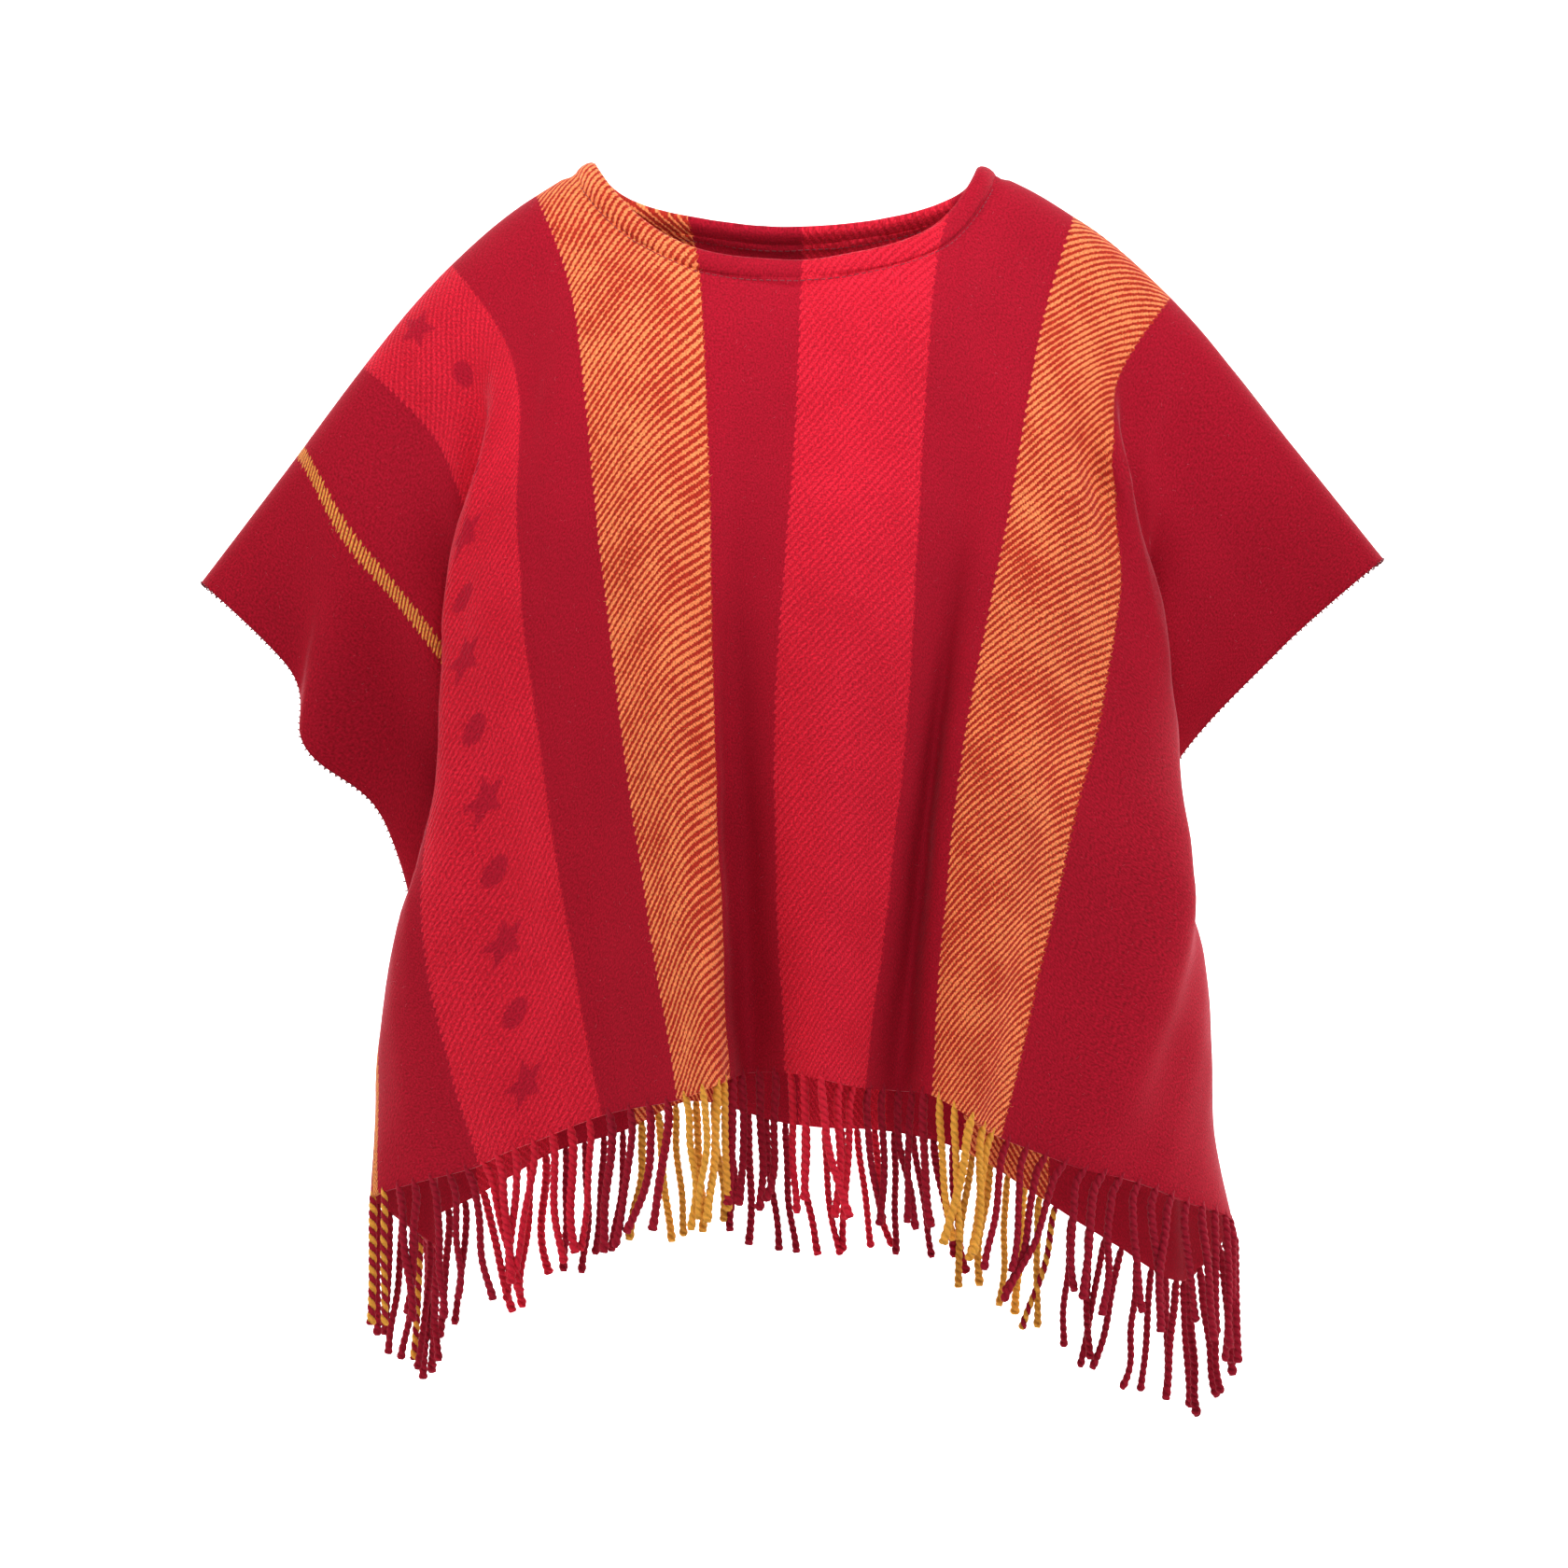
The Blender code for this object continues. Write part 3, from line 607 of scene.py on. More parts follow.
def motif_run(along):
    """A place along the star stripe, counted so that a star lies at each whole STAR_REPEAT."""
    stars = np.array(STARS_ALONG, float)
    runs = np.arange(len(stars)) * STAR_REPEAT
    inside = np.interp(along, stars, runs)
    after = runs[-1] + along - stars[-1]
    return np.where(along < stars[0], along - stars[0], np.where(along > stars[-1], after, inside))


def mark_cloth(obj):
    """Keeps on each point of the cloth its place in the star stripe and its warp's colour."""
    mesh = obj.data
    places = np.zeros((len(mesh.vertices), 2))
    for loop, corner in zip(mesh.loops, mesh.uv_layers["cloth"].data):
        places[loop.vertex_index] = corner.uv
    places /= MM
    run = mesh.attributes.new("motif_run", "FLOAT", "POINT")
    run.data.foreach_set("value", motif_run(places[:, 1]).astype(np.float32))
    colours = [(*yarn_colour(warp_colour(across)), 1.0) for across in places[:, 0]]
    fibre = mesh.attributes.new("fibre", "FLOAT_COLOR", "POINT")
    fibre.data.foreach_set("color", np.array(colours, np.float32).ravel())


def cloth_grid(half, margin):
    """Places (across, along) of a grid that fans out round the neck, row by row."""
    neck_turn = even_turns(half.name, margin, CLOTH_COLUMNS["neck"])
    neck_across, neck_along = neck_curve(half.name, margin, neck_turn)
    left = np.linspace(0, neck_across[0], CLOTH_COLUMNS["left"] + 1)[:-1]
    right = np.linspace(neck_across[-1], CLOTH_WIDTH, CLOTH_COLUMNS["right"] + 1)[1:]
    top_across = np.concatenate((left, neck_across, right))
    top_along = np.concatenate((np.zeros_like(left), neck_along, np.zeros_like(right)))
    steps = np.hypot(np.diff(top_across), np.diff(top_along))
    run = np.concatenate(([0], np.cumsum(steps)))
    foot_across = CLOTH_WIDTH * run / run[-1]
    foot_along = half.length_at(foot_across)
    share = (np.arange(CLOTH_ROWS + 1) / CLOTH_ROWS)[:, None] ** ROW_CROWDING
    across = top_across + share * (foot_across - top_across)
    along = top_along + share * (foot_along - top_along)
    # Between the ends of the hem its line is curved, so no point may pass it.
    longest = half.length_at(across.ravel()).reshape(across.shape)
    return across, np.minimum(along, longest)


def grid_faces(rows, columns, first):
    """The four-sided faces of a grid of points, row after row."""
    index = np.arange(rows * columns).reshape(rows, columns) + first
    corners = (index[:-1, :-1], index[1:, :-1], index[1:, 1:], index[:-1, 1:])
    return np.stack(corners, axis=-1).reshape(-1, 4)


def build_cloth(material):
    """The whole cloth as one thin shell: front and back, joined over the ridge and at the sides."""
    cloth, _ = settings()
    points, places, faces = [], [], []
    count = 0
    for half in halves():
        across, along = cloth_grid(half, NECK_HEM_WIDTH - cloth.hem_tuck / MM)
        rows, columns = across.shape
        across, along = across.ravel(), along.ravel()
        points.append(half.at(across, along))
        places.append(np.column_stack((across, -side_of(half.name) * along)))
        quads = grid_faces(rows, columns, count)
        faces.append(quads if half.name == "front" else quads[:, ::-1])
        count += rows * columns
    points, places, faces = (np.concatenate(part) for part in (points, places, faces))
    made = mesh_object("cloth", points, faces.tolist(), material)
    set_uv(made.data, places[faces.ravel()])
    weld(made, WELD_DISTANCE)
    made.data.shade_smooth()
    thick = made.modifiers.new("wall", "SOLIDIFY")
    thick.thickness = cloth.thickness
    thick.offset = 0.0
    rim = made.modifiers.new("rim", "BEVEL")
    rim.width = cloth.thickness / 4
    rim.segments = 2
    rim.limit_method = "ANGLE"
    rim.angle_limit = math.radians(60)
    return made


def build_neck_hem(material):
    """The neck's hem, turned over to the inside and stitched: a soft round roll."""
    cloth, _ = settings()
    turn = np.linspace(0, 2 * math.pi, ROLL_SIDES, endpoint=False)
    beside = np.cos(turn)
    # Fullest over the fold at the neck's edge, and pulled in at the stitch line.
    height = np.sin(turn) * (1 - ROLL_LEAN * beside)
    rings, places = [], []
    for share, lift in zip(beside, height):
        margin = max(NECK_HEM_WIDTH * (1 + share) / 2, ROLL_LEAST)
        ring, place = [], []
        for half in halves():
            turns = even_turns(half.name, NECK_HEM_WIDTH / 2, ROLL_STEPS[half.name])
            across, along = neck_curve(half.name, margin, turns)
            pucker = 1 + ROLL_PUCKER * np.sin(across / 2.9) * np.cos(along / 3.7)
            up = lift * cloth.roll_height / 2 / MM * pucker
            ring.append(half.plain(across, along) + half.normals(across, along) * up[:, None])
            place.append(np.column_stack((across, -side_of(half.name) * along)))
        rings.append(np.concatenate((ring[0], ring[1][-2:0:-1])))
        places.append(np.concatenate((place[0], place[1][-2:0:-1])))
    rings.append(rings[0])
    places.append(places[0])
    rows, columns = len(rings), len(rings[0])
    rings = [np.vstack((ring, ring[:1])) for ring in rings]
    places = [np.vstack((place, place[:1])) for place in places]
    faces = grid_faces(rows, columns + 1, 0)
    points, places = np.concatenate(rings), np.concatenate(places)
    made = mesh_object("neck_roll", points, faces.tolist(), material)
    set_uv(made.data, places[faces.ravel()])
    weld(made, ROLL_WELD)
    face_outwards(made)
    made.data.shade_smooth()
    return made


class HemLine:
    """The hem of one half, read by how far along it a point lies."""

    def __init__(self, half):
        self.half = half
        self.across = np.linspace(0, CLOTH_WIDTH, HEM_SAMPLES)
        length = half.length_at(self.across)
        self.points = half.at(self.across, length)
        self.down = self.points - half.at(self.across, length - 3)
        self.out = half.normals(self.across, length)
        steps = np.linalg.norm(np.diff(self.points, axis=0), axis=1)
        self.run = np.concatenate(([0.0], np.cumsum(steps)))

    def run_at(self, across):
        """How far along the hem a place across the cloth lies."""
        return float(np.interp(across, self.across, self.run))

    def read(self, run):
        """The hem's place across, its point, the way the cloth hangs there and faces."""
        found = []
        for values in (self.points, self.down, self.out):
            found.append(np.array([np.interp(run, self.run, axis) for axis in values.T]))
        point, down, out = found
        across = float(np.interp(run, self.run, self.across))
        return across, point, down / np.linalg.norm(down), out / np.linalg.norm(out)


def warp_colour(across):
    """The colour of the warp at a place across the cloth."""
    if THIN_LINE[0] <= across <= THIN_LINE[1]:
        return "yellow"
    for _, end, colour in STRIPES:
        if across <= end:
            return colour
    return STRIPES[-1][2]


def yarn_colour(name):
    """The fringe's own crimson, red or yellow."""
    _, fringe = settings()
    return tuple(getattr(fringe, name + "_yarn"))


def ply_colours(across):
    """A strand's two plies. Beside a yellow stripe, a crimson strand has one yellow ply."""
    own = warp_colour(across)
    found = [own, own]
    for ply, side in enumerate((-1, 1)):
        place = min(max(across + side * PLY_REACH, 0.0), CLOTH_WIDTH)
        near_line = abs(across + side * PLY_REACH / 2 - sum(THIN_LINE) / 2) < PLY_REACH / 2
        if own == "crimson" and (near_line or warp_colour(place) == "yellow"):
            found[ply] = "yellow"
    return found


def strand_path(hem, run, number, draw, fringe):
    """The middle of one strand, from just inside the hem to its tip, and its fullness."""
    across, root, down, out = hem.read(run)
    beside = np.array((-out[1], out[0], 0.0)) * -side_of(hem.half.name)
    beside /= np.linalg.norm(beside)
    level = np.array((out[0], out[1], 0.0))
    level /= np.linalg.norm(level)
    length = (fringe.length + draw.uniform(-0.5, 0.5) * fringe.length_spread) / MM
    # Neighbours lean together in pairs here and there, and cross in V and Y shapes.
    wave = math.sin(run / LEAN_WAVE_RUN + (0 if hem.half.name == "front" else 2)) * LEAN_WAVE
    outer = 1 + LEAN_OUTER * abs(across / CLOTH_WIDTH * 2 - 1)
    lean = (draw.gauss(0, 1) * LEAN_DRAWN * outer + wave) * fringe.sway / MM
    turned = SWING_TURNS if number % 2 else -SWING_TURNS
    swing = (draw.gauss(0, 1) * SWING_DRAWN + turned) * fringe.swing / MM
    ripple, phase = draw.uniform(*RIPPLE_SIZES), draw.uniform(0, 2 * math.pi)
    bend = draw.uniform(*RIPPLE_LENGTHS)
    curl = draw.gauss(0, 1) * CURL_SIZE
    full = draw.uniform(*FULLNESS)
    points, width = [], []
    for share in STRAND_SHARES:
        depth = length * share - ROOT_INSIDE
        stiff = min(depth, STIFF_LENGTH)
        hang = down * stiff + np.array((0.0, 0.0, -1.0)) * (depth - stiff)
        hang += out * ROOT_LIFT * max(0.0, 1 - share / ROOT_SHARE)
        aside = lean * share**1.4 + curl * share**4
        aside += ripple * math.sin(2 * math.pi * depth / bend + phase) * share * min(1, 3 * share)
        points.append(root + hang + beside * aside + level * swing * share)
        width.append(full * np.interp(share, TAPER_AT, TAPER))
    return points, width


def strand_lines(half, stripe, start, end, draw):
    """All strands of one stripe, as a mesh of edges that carries what the tree reads."""
    _, fringe = settings()
    hem = HemLine(half)
    first, last = hem.run_at(start) + SEAM_GAP / 2, hem.run_at(end) - SEAM_GAP / 2
    count = max(1, round((last - first) / FRINGE_PITCH))
    points, edges, widths, plies = [], [], [], []
    for number in range(count):
        run = first + (last - first) * (number + 0.5) / count
        colours = ply_colours(hem.read(run)[0])
        path, width = strand_path(hem, run, number, draw, fringe)
        edges += [(len(points) + k, len(points) + k + 1) for k in range(len(path) - 1)]
        points += path
        widths += width
        plies += [colours] * len(path)
    mesh = bpy.data.meshes.new("strand_lines")
    mesh.from_pydata([tuple(p) for p in np.array(points) * MM], edges, [])
    made = mesh.attributes.new("fullness", "FLOAT", "POINT")
    made.data.foreach_set("value", np.array(widths, np.float32))
    for ply, name in enumerate(("ply_a", "ply_b")):
        made = mesh.attributes.new(name, "FLOAT_COLOR", "POINT")
        values = [(*yarn_colour(colours[ply]), 1.0) for colours in plies]
        made.data.foreach_set("color", np.array(values, np.float32).ravel())
    return mesh


def add_node(tree, kind, **values):
    """Adds a node. A value is one of its settings or an input, and a node or socket is linked."""
    node = tree.nodes.new(kind)
    for name, value in values.items():
        if name in node.bl_rna.properties:
            setattr(node, name, value)
            continue
        if name[0] == "i" and name[1:].isdigit():
            socket = node.inputs[int(name[1:])]
        else:
            shown = [s for s in node.inputs if s.enabled and s.name.replace(" ", "_") == name]
            socket = shown[0]
        if isinstance(value, bpy.types.Node):
            value = next(s for s in value.outputs if s.enabled)
        if isinstance(value, bpy.types.NodeSocket):
            tree.links.new(value, socket)
        else:
            socket.default_value = value
    return node


def new_tree(name, inputs):
    """A Geometry Nodes tree with a geometry input and these named inputs."""
    tree = bpy.data.node_groups.new(name, "GeometryNodeTree")
    tree.interface.new_socket("Geometry", in_out="INPUT", socket_type="NodeSocketGeometry")
    for label, kind in inputs.items():
        tree.interface.new_socket(label, in_out="INPUT", socket_type=kind)
    tree.interface.new_socket("Geometry", in_out="OUTPUT", socket_type="NodeSocketGeometry")
    return tree, add_node(tree, "NodeGroupInput").outputs


def finish_tree(tree, geometry, material):
    """Every tree ends in real geometry with its material."""
    real = add_node(tree, "GeometryNodeRealizeInstances", Geometry=geometry)
    dressed = add_node(tree, "GeometryNodeSetMaterial", Geometry=real, Material=material)
    add_node(tree, "NodeGroupOutput", Geometry=dressed)
    return tree


def run_tree(name, mesh, tree, values):
    """Runs a tree on a mesh, and gives the result as a plain mesh object."""
    carrier = bpy.data.objects.new(name + "_carrier", mesh)
    bpy.context.scene.collection.objects.link(carrier)
    modifier = carrier.modifiers.new("tree", "NODES")
    modifier.node_group = tree
    for item in tree.interface.items_tree:
        if item.in_out == "INPUT" and item.name in values:
            modifier[item.identifier] = values[item.name]
    evaluated = carrier.evaluated_get(bpy.context.evaluated_depsgraph_get())
    result = bpy.data.meshes.new_from_object(evaluated)
    result.name = name
    bpy.data.objects.remove(carrier)
    made = bpy.data.objects.new(name, result)
    bpy.context.scene.collection.objects.link(made)
    result.shade_smooth()
    return made


def fringe_tree():
    """Sweeps two plies, twisted round each other, along each strand's line."""
    tree, given = new_tree(
        "twisted_fringe",
        {
            "Ply width": "NodeSocketFloat",
            "Turn length": "NodeSocketFloat",
            "Step": "NodeSocketFloat",
            "Sides": "NodeSocketInt",
            "Yarn": "NodeSocketMaterial",
        },
    )
    lines = add_node(tree, "GeometryNodeMeshToCurve", Mesh=given["Geometry"])
    fine = add_node(
        tree, "GeometryNodeResampleCurve", Curve=lines, mode="LENGTH", Length=given["Step"]
    )
    place = add_node(tree, "GeometryNodeSplineParameter")
    down = place.outputs["Length"]
    turns = add_node(tree, "ShaderNodeMath", operation="DIVIDE", i0=down, i1=given["Turn length"])
    angle = add_node(tree, "ShaderNodeMath", operation="MULTIPLY", i0=turns, i1=-2 * math.pi)
    tilted = add_node(tree, "GeometryNodeSetCurveTilt", Curve=fine, Tilt=angle)
    fullness = add_node(
        tree, "GeometryNodeInputNamedAttribute", data_type="FLOAT", Name="fullness"
    )
    sized = add_node(tree, "GeometryNodeSetCurveRadius", Curve=tilted, Radius=fullness)
    measured = add_node(
        tree, "GeometryNodeStoreNamedAttribute", data_type="FLOAT", domain="POINT",
        Geometry=sized, Name="down", Value=down,
    )
    radius = add_node(
        tree, "ShaderNodeMath", operation="MULTIPLY", i0=given["Ply width"], i1=0.5
    )
    profile = add_node(tree, "GeometryNodeJoinGeometry")
    for ply, sign in enumerate((-1, 1)):
        circle = add_node(
            tree, "GeometryNodeCurvePrimitiveCircle", Resolution=given["Sides"], Radius=radius
        )
        shift = add_node(
            tree, "ShaderNodeMath", operation="MULTIPLY",
            i0=given["Ply width"], i1=PLY_OFFSET * sign,
        )
        offset = add_node(tree, "ShaderNodeCombineXYZ", X=shift)
        moved = add_node(tree, "GeometryNodeSetPosition", Geometry=circle, Offset=offset)
        named = add_node(
            tree, "GeometryNodeStoreNamedAttribute", data_type="FLOAT", domain="POINT",
            Geometry=moved, Name="ply", Value=float(ply),
        )
        around = add_node(tree, "GeometryNodeSplineParameter")
        measured_round = add_node(
            tree, "GeometryNodeStoreNamedAttribute", data_type="FLOAT", domain="POINT",
            Geometry=named, Name="around", Value=around,
        )
        # How far out of the cord's middle a place on a ply lies: 0 in the groove, 1 on top.
        where = add_node(tree, "GeometryNodeInputPosition")
        size = add_node(tree, "ShaderNodeVectorMath", operation="LENGTH", i0=where)
        crest = add_node(
            tree, "ShaderNodeMath", operation="DIVIDE",
            i0=size.outputs["Value"], i1=given["Ply width"],
        )
        marked = add_node(
            tree, "GeometryNodeStoreNamedAttribute", data_type="FLOAT", domain="POINT",
            Geometry=measured_round, Name="crest", Value=crest,
        )
        tree.links.new(marked.outputs[0], profile.inputs[0])
    reach = add_node(tree, "GeometryNodeInputRadius")
    swept = add_node(
        tree, "GeometryNodeCurveToMesh",
        Curve=measured, Profile_Curve=profile, Scale=reach, Fill_Caps=True,
    )
    ply = add_node(tree, "GeometryNodeInputNamedAttribute", data_type="FLOAT", Name="ply")
    first = add_node(
        tree, "GeometryNodeInputNamedAttribute", data_type="FLOAT_COLOR", Name="ply_a"
    )
    second = add_node(
        tree, "GeometryNodeInputNamedAttribute", data_type="FLOAT_COLOR", Name="ply_b"
    )
    mixed = add_node(tree, "ShaderNodeMix", data_type="RGBA", i0=ply, i6=first, i7=second)
    coloured = add_node(
        tree, "GeometryNodeStoreNamedAttribute", data_type="FLOAT_COLOR", domain="POINT",
        Geometry=swept, Name="yarn", Value=mixed,
    )
    return finish_tree(tree, coloured, given["Yarn"])


def stitch_tree():
    """Puts a small arched stitch on each point, lying across the edge that it holds."""
    tree, given = new_tree(
        "sewing_stitches",
        {
            "Stitch width": "NodeSocketFloat",
            "Stitch height": "NodeSocketFloat",
            "Thread": "NodeSocketFloat",
            "Material": "NodeSocketMaterial",
        },
    )
    width, height = given["Stitch width"], given["Stitch height"]
    right_x = add_node(tree, "ShaderNodeMath", operation="MULTIPLY", i0=width, i1=0.5)
    left_x = add_node(tree, "ShaderNodeMath", operation="MULTIPLY", i0=width, i1=-0.5)
    top_z = add_node(tree, "ShaderNodeMath", operation="MULTIPLY", i0=height, i1=2.0)
    left = add_node(tree, "ShaderNodeCombineXYZ", X=left_x)
    right = add_node(tree, "ShaderNodeCombineXYZ", X=right_x)
    top = add_node(tree, "ShaderNodeCombineXYZ", Z=top_z)
    arc = add_node(
        tree, "GeometryNodeCurveQuadraticBezier", Resolution=5, Start=left, Middle=top, End=right
    )
    circle = add_node(
        tree, "GeometryNodeCurvePrimitiveCircle", Resolution=5, Radius=given["Thread"]
    )
    thread = add_node(
        tree, "GeometryNodeCurveToMesh", Curve=arc, Profile_Curve=circle, Fill_Caps=True
    )
    run = add_node(tree, "GeometryNodeInputNamedAttribute", data_type="FLOAT_VECTOR", Name="run")
    out = add_node(tree, "GeometryNodeInputNamedAttribute", data_type="FLOAT_VECTOR", Name="out")
    turn = add_node(
        tree, "FunctionNodeAxesToRotation",
        primary_axis="Z", secondary_axis="X", i0=out, i1=run,
    )
    placed = add_node(
        tree, "GeometryNodeInstanceOnPoints",
        Points=given["Geometry"], Instance=thread, Rotation=turn,
    )
    return finish_tree(tree, placed, given["Material"])


def fibre_tree():
    """Scatters short bent wool fibres over the cloth, as brushing raises them."""
    tree, given = new_tree(
        "raised_fibres",
        {
            "Fibres per square metre": "NodeSocketFloat",
            "Fibre length": "NodeSocketFloat",
            "Fibre radius": "NodeSocketFloat",
            "Seed": "NodeSocketInt",
            "Wool": "NodeSocketMaterial",
        },
    )
    spread = add_node(
        tree, "GeometryNodeDistributePointsOnFaces",
        Mesh=given["Geometry"], Density=given["Fibres per square metre"], Seed=given["Seed"],
    )
    length = given["Fibre length"]
    aside = add_node(tree, "ShaderNodeMath", operation="MULTIPLY", i0=length, i1=0.5)
    up = add_node(tree, "ShaderNodeMath", operation="MULTIPLY", i0=length, i1=FIBRE_RISE)
    middle = add_node(tree, "ShaderNodeCombineXYZ", Z=up)
    tip = add_node(tree, "ShaderNodeCombineXYZ", X=aside, Z=up)
    arc = add_node(
        tree, "GeometryNodeCurveQuadraticBezier",
        Resolution=2, Start=(0.0, 0.0, 0.0), Middle=middle, End=tip,
    )
    circle = add_node(
        tree, "GeometryNodeCurvePrimitiveCircle", Resolution=3, Radius=given["Fibre radius"]
    )
    fibre = add_node(
        tree, "GeometryNodeCurveToMesh", Curve=arc, Profile_Curve=circle, Fill_Caps=True
    )
    tipped = add_node(
        tree, "FunctionNodeRandomValue", data_type="FLOAT_VECTOR", Seed=given["Seed"],
        Min=(-FIBRE_TILT, -FIBRE_TILT, -math.pi), Max=(FIBRE_TILT, FIBRE_TILT, math.pi),
    )
    turn = add_node(
        tree, "FunctionNodeRotateRotation", rotation_space="LOCAL",
        i0=spread.outputs["Rotation"], i1=tipped,
    )
    size = add_node(
        tree, "FunctionNodeRandomValue", data_type="FLOAT", Seed=given["Seed"],
        Min=FIBRE_SIZES[0], Max=FIBRE_SIZES[1],
    )
    placed = add_node(
        tree, "GeometryNodeInstanceOnPoints",
        Points=spread, Instance=fibre, Rotation=turn, Scale=size,
    )
    return finish_tree(tree, placed, given["Wool"])


def new_material(name, finish):
    """A dielectric material, with its shader's own values set."""
    made = bpy.data.materials.new(name)
    made.use_nodes = True
    shader = made.node_tree.nodes["Principled BSDF"]
    for label, value in finish.items():
        shader.inputs[label].default_value = value
    return made.node_tree, shader


def stripe_ramp(tree, across, values):
    """A ramp across the cloth that changes at the stripes' edges."""
    share = add_node(tree, "ShaderNodeMath", operation="DIVIDE", i0=across, i1=CLOTH_WIDTH)
    node = add_node(tree, "ShaderNodeValToRGB", Fac=share)
    ramp = node.color_ramp
    ramp.interpolation = "CONSTANT"
    edges, kinds = [0.0], []
    for _, end, colour in STRIPES:
        if edges[-1] < THIN_LINE[0] < end:
            kinds += [colour, "thin_line", colour]
            edges += [THIN_LINE[0], THIN_LINE[1], end]
        else:
            kinds.append(colour)
            edges.append(end)
    while len(ramp.elements) < len(kinds):
        ramp.elements.new(1.0)
    for element, start in zip(ramp.elements, edges):
        element.position = start / CLOTH_WIDTH
    for element, kind in zip(ramp.elements, kinds):
        element.color = values[kind]
    return node


def motif_mask(tree, across, run):
    """1 inside a woven star or dot, which take turns along the star stripe."""
    beside = add_node(tree, "ShaderNodeMath", operation="SUBTRACT", i0=across, i1=MOTIF_ACROSS)
    masks = []
    for kind, start in (("star", 0.0), ("dot", STAR_REPEAT / 2)):
        moved = add_node(tree, "ShaderNodeMath", operation="ADD", i0=run, i1=start)
        down = add_node(
            tree, "ShaderNodeMath", operation="WRAP",
            i0=moved, i1=STAR_REPEAT / 2, i2=-STAR_REPEAT / 2,
        )
        place = add_node(tree, "ShaderNodeCombineXYZ", X=beside, Y=down)
        stepped = add_node(
            tree, "ShaderNodeVectorMath", operation="SNAP", i0=place, i1=(MOTIF_STEP, MOTIF_STEP, 1.0)
        )
        far = add_node(tree, "ShaderNodeVectorMath", operation="LENGTH", i0=stepped)
        far = far.outputs["Value"]
        reach = DOT_RADIUS
        if kind == "star":
            split = add_node(tree, "ShaderNodeSeparateXYZ", Vector=stepped)
            turn = add_node(
                tree, "ShaderNodeMath", operation="ARCTAN2", i0=split.outputs["X"],
                i1=add_node(
                    tree, "ShaderNodeMath", operation="MULTIPLY", i0=split.outputs["Y"], i1=-1.0
                ),
            )
            size = add_node(tree, "ShaderNodeMath", operation="ABSOLUTE", i0=turn)
            fold = add_node(
                tree, "ShaderNodeMath", operation="PINGPONG", i0=size, i1=math.pi / 5
            )
            # The straight side of a five-pointed star, from a tip to the next inner corner.
            inner_x = STAR_INNER * math.cos(math.pi / 5)
            inner_y = STAR_INNER * math.sin(math.pi / 5)
            slope = math.atan2(STAR_TIP - inner_x, inner_y)
            reach = STAR_TIP * math.cos(slope)
            off = add_node(tree, "ShaderNodeMath", operation="SUBTRACT", i0=fold, i1=slope)
            lean = add_node(tree, "ShaderNodeMath", operation="COSINE", i0=off)
            far = add_node(tree, "ShaderNodeMath", operation="MULTIPLY", i0=far, i1=lean)
        masks.append(
            add_node(
                tree, "ShaderNodeMapRange", interpolation_type="SMOOTHSTEP", Value=far,
                From_Min=reach + MOTIF_BLUR, From_Max=reach - MOTIF_BLUR,
            )
        )
    both = add_node(tree, "ShaderNodeMath", operation="MAXIMUM", i0=masks[0], i1=masks[1])
    away = add_node(tree, "ShaderNodeMath", operation="ABSOLUTE", i0=beside)
    near = add_node(
        tree, "ShaderNodeMath", operation="LESS_THAN", i0=away, i1=STAR_TIP + MOTIF_ROOM
    )
    return add_node(tree, "ShaderNodeMath", operation="MULTIPLY", i0=both, i1=near)


def skewed_lines(tree, across, along):
    """How far beside the first twill line a place lies, counted across the cloth.

    Below the shoulders the hung cloth skews, so that its lines lie more level on the left and
    steeper on the right than a flat cloth's would.
    """
    aside = add_node(
        tree, "ShaderNodeMath", operation="MULTIPLY_ADD",
        i0=across, i1=1 / SKEW_REACH, i2=-SKEW_MIDDLE / SKEW_REACH,
    )
    square = add_node(tree, "ShaderNodeMath", operation="MULTIPLY", i0=aside, i1=aside)
    minus = add_node(tree, "ShaderNodeMath", operation="MULTIPLY", i0=square, i1=-1.0)
    bell = add_node(tree, "ShaderNodeMath", operation="EXPONENT", i0=minus)
    skew = add_node(
        tree, "ShaderNodeMath", operation="MULTIPLY_ADD",
        i0=bell, i1=-SKEW_SIZE, i2=SKEW_SIZE * math.exp(-0.5),
    )
    grown = add_node(
        tree, "ShaderNodeMath", operation="MULTIPLY_ADD", i0=along, i1=along, i2=SKEW_FROM**2
    )
    root = add_node(tree, "ShaderNodeMath", operation="SQRT", i0=grown)
    hung = add_node(tree, "ShaderNodeMath", operation="DIVIDE", i0=along, i1=root)
    plain = add_node(tree, "ShaderNodeMath", operation="ADD", i0=across, i1=along)
    return add_node(tree, "ShaderNodeMath", operation="MULTIPLY_ADD", i0=skew, i1=hung, i2=plain)


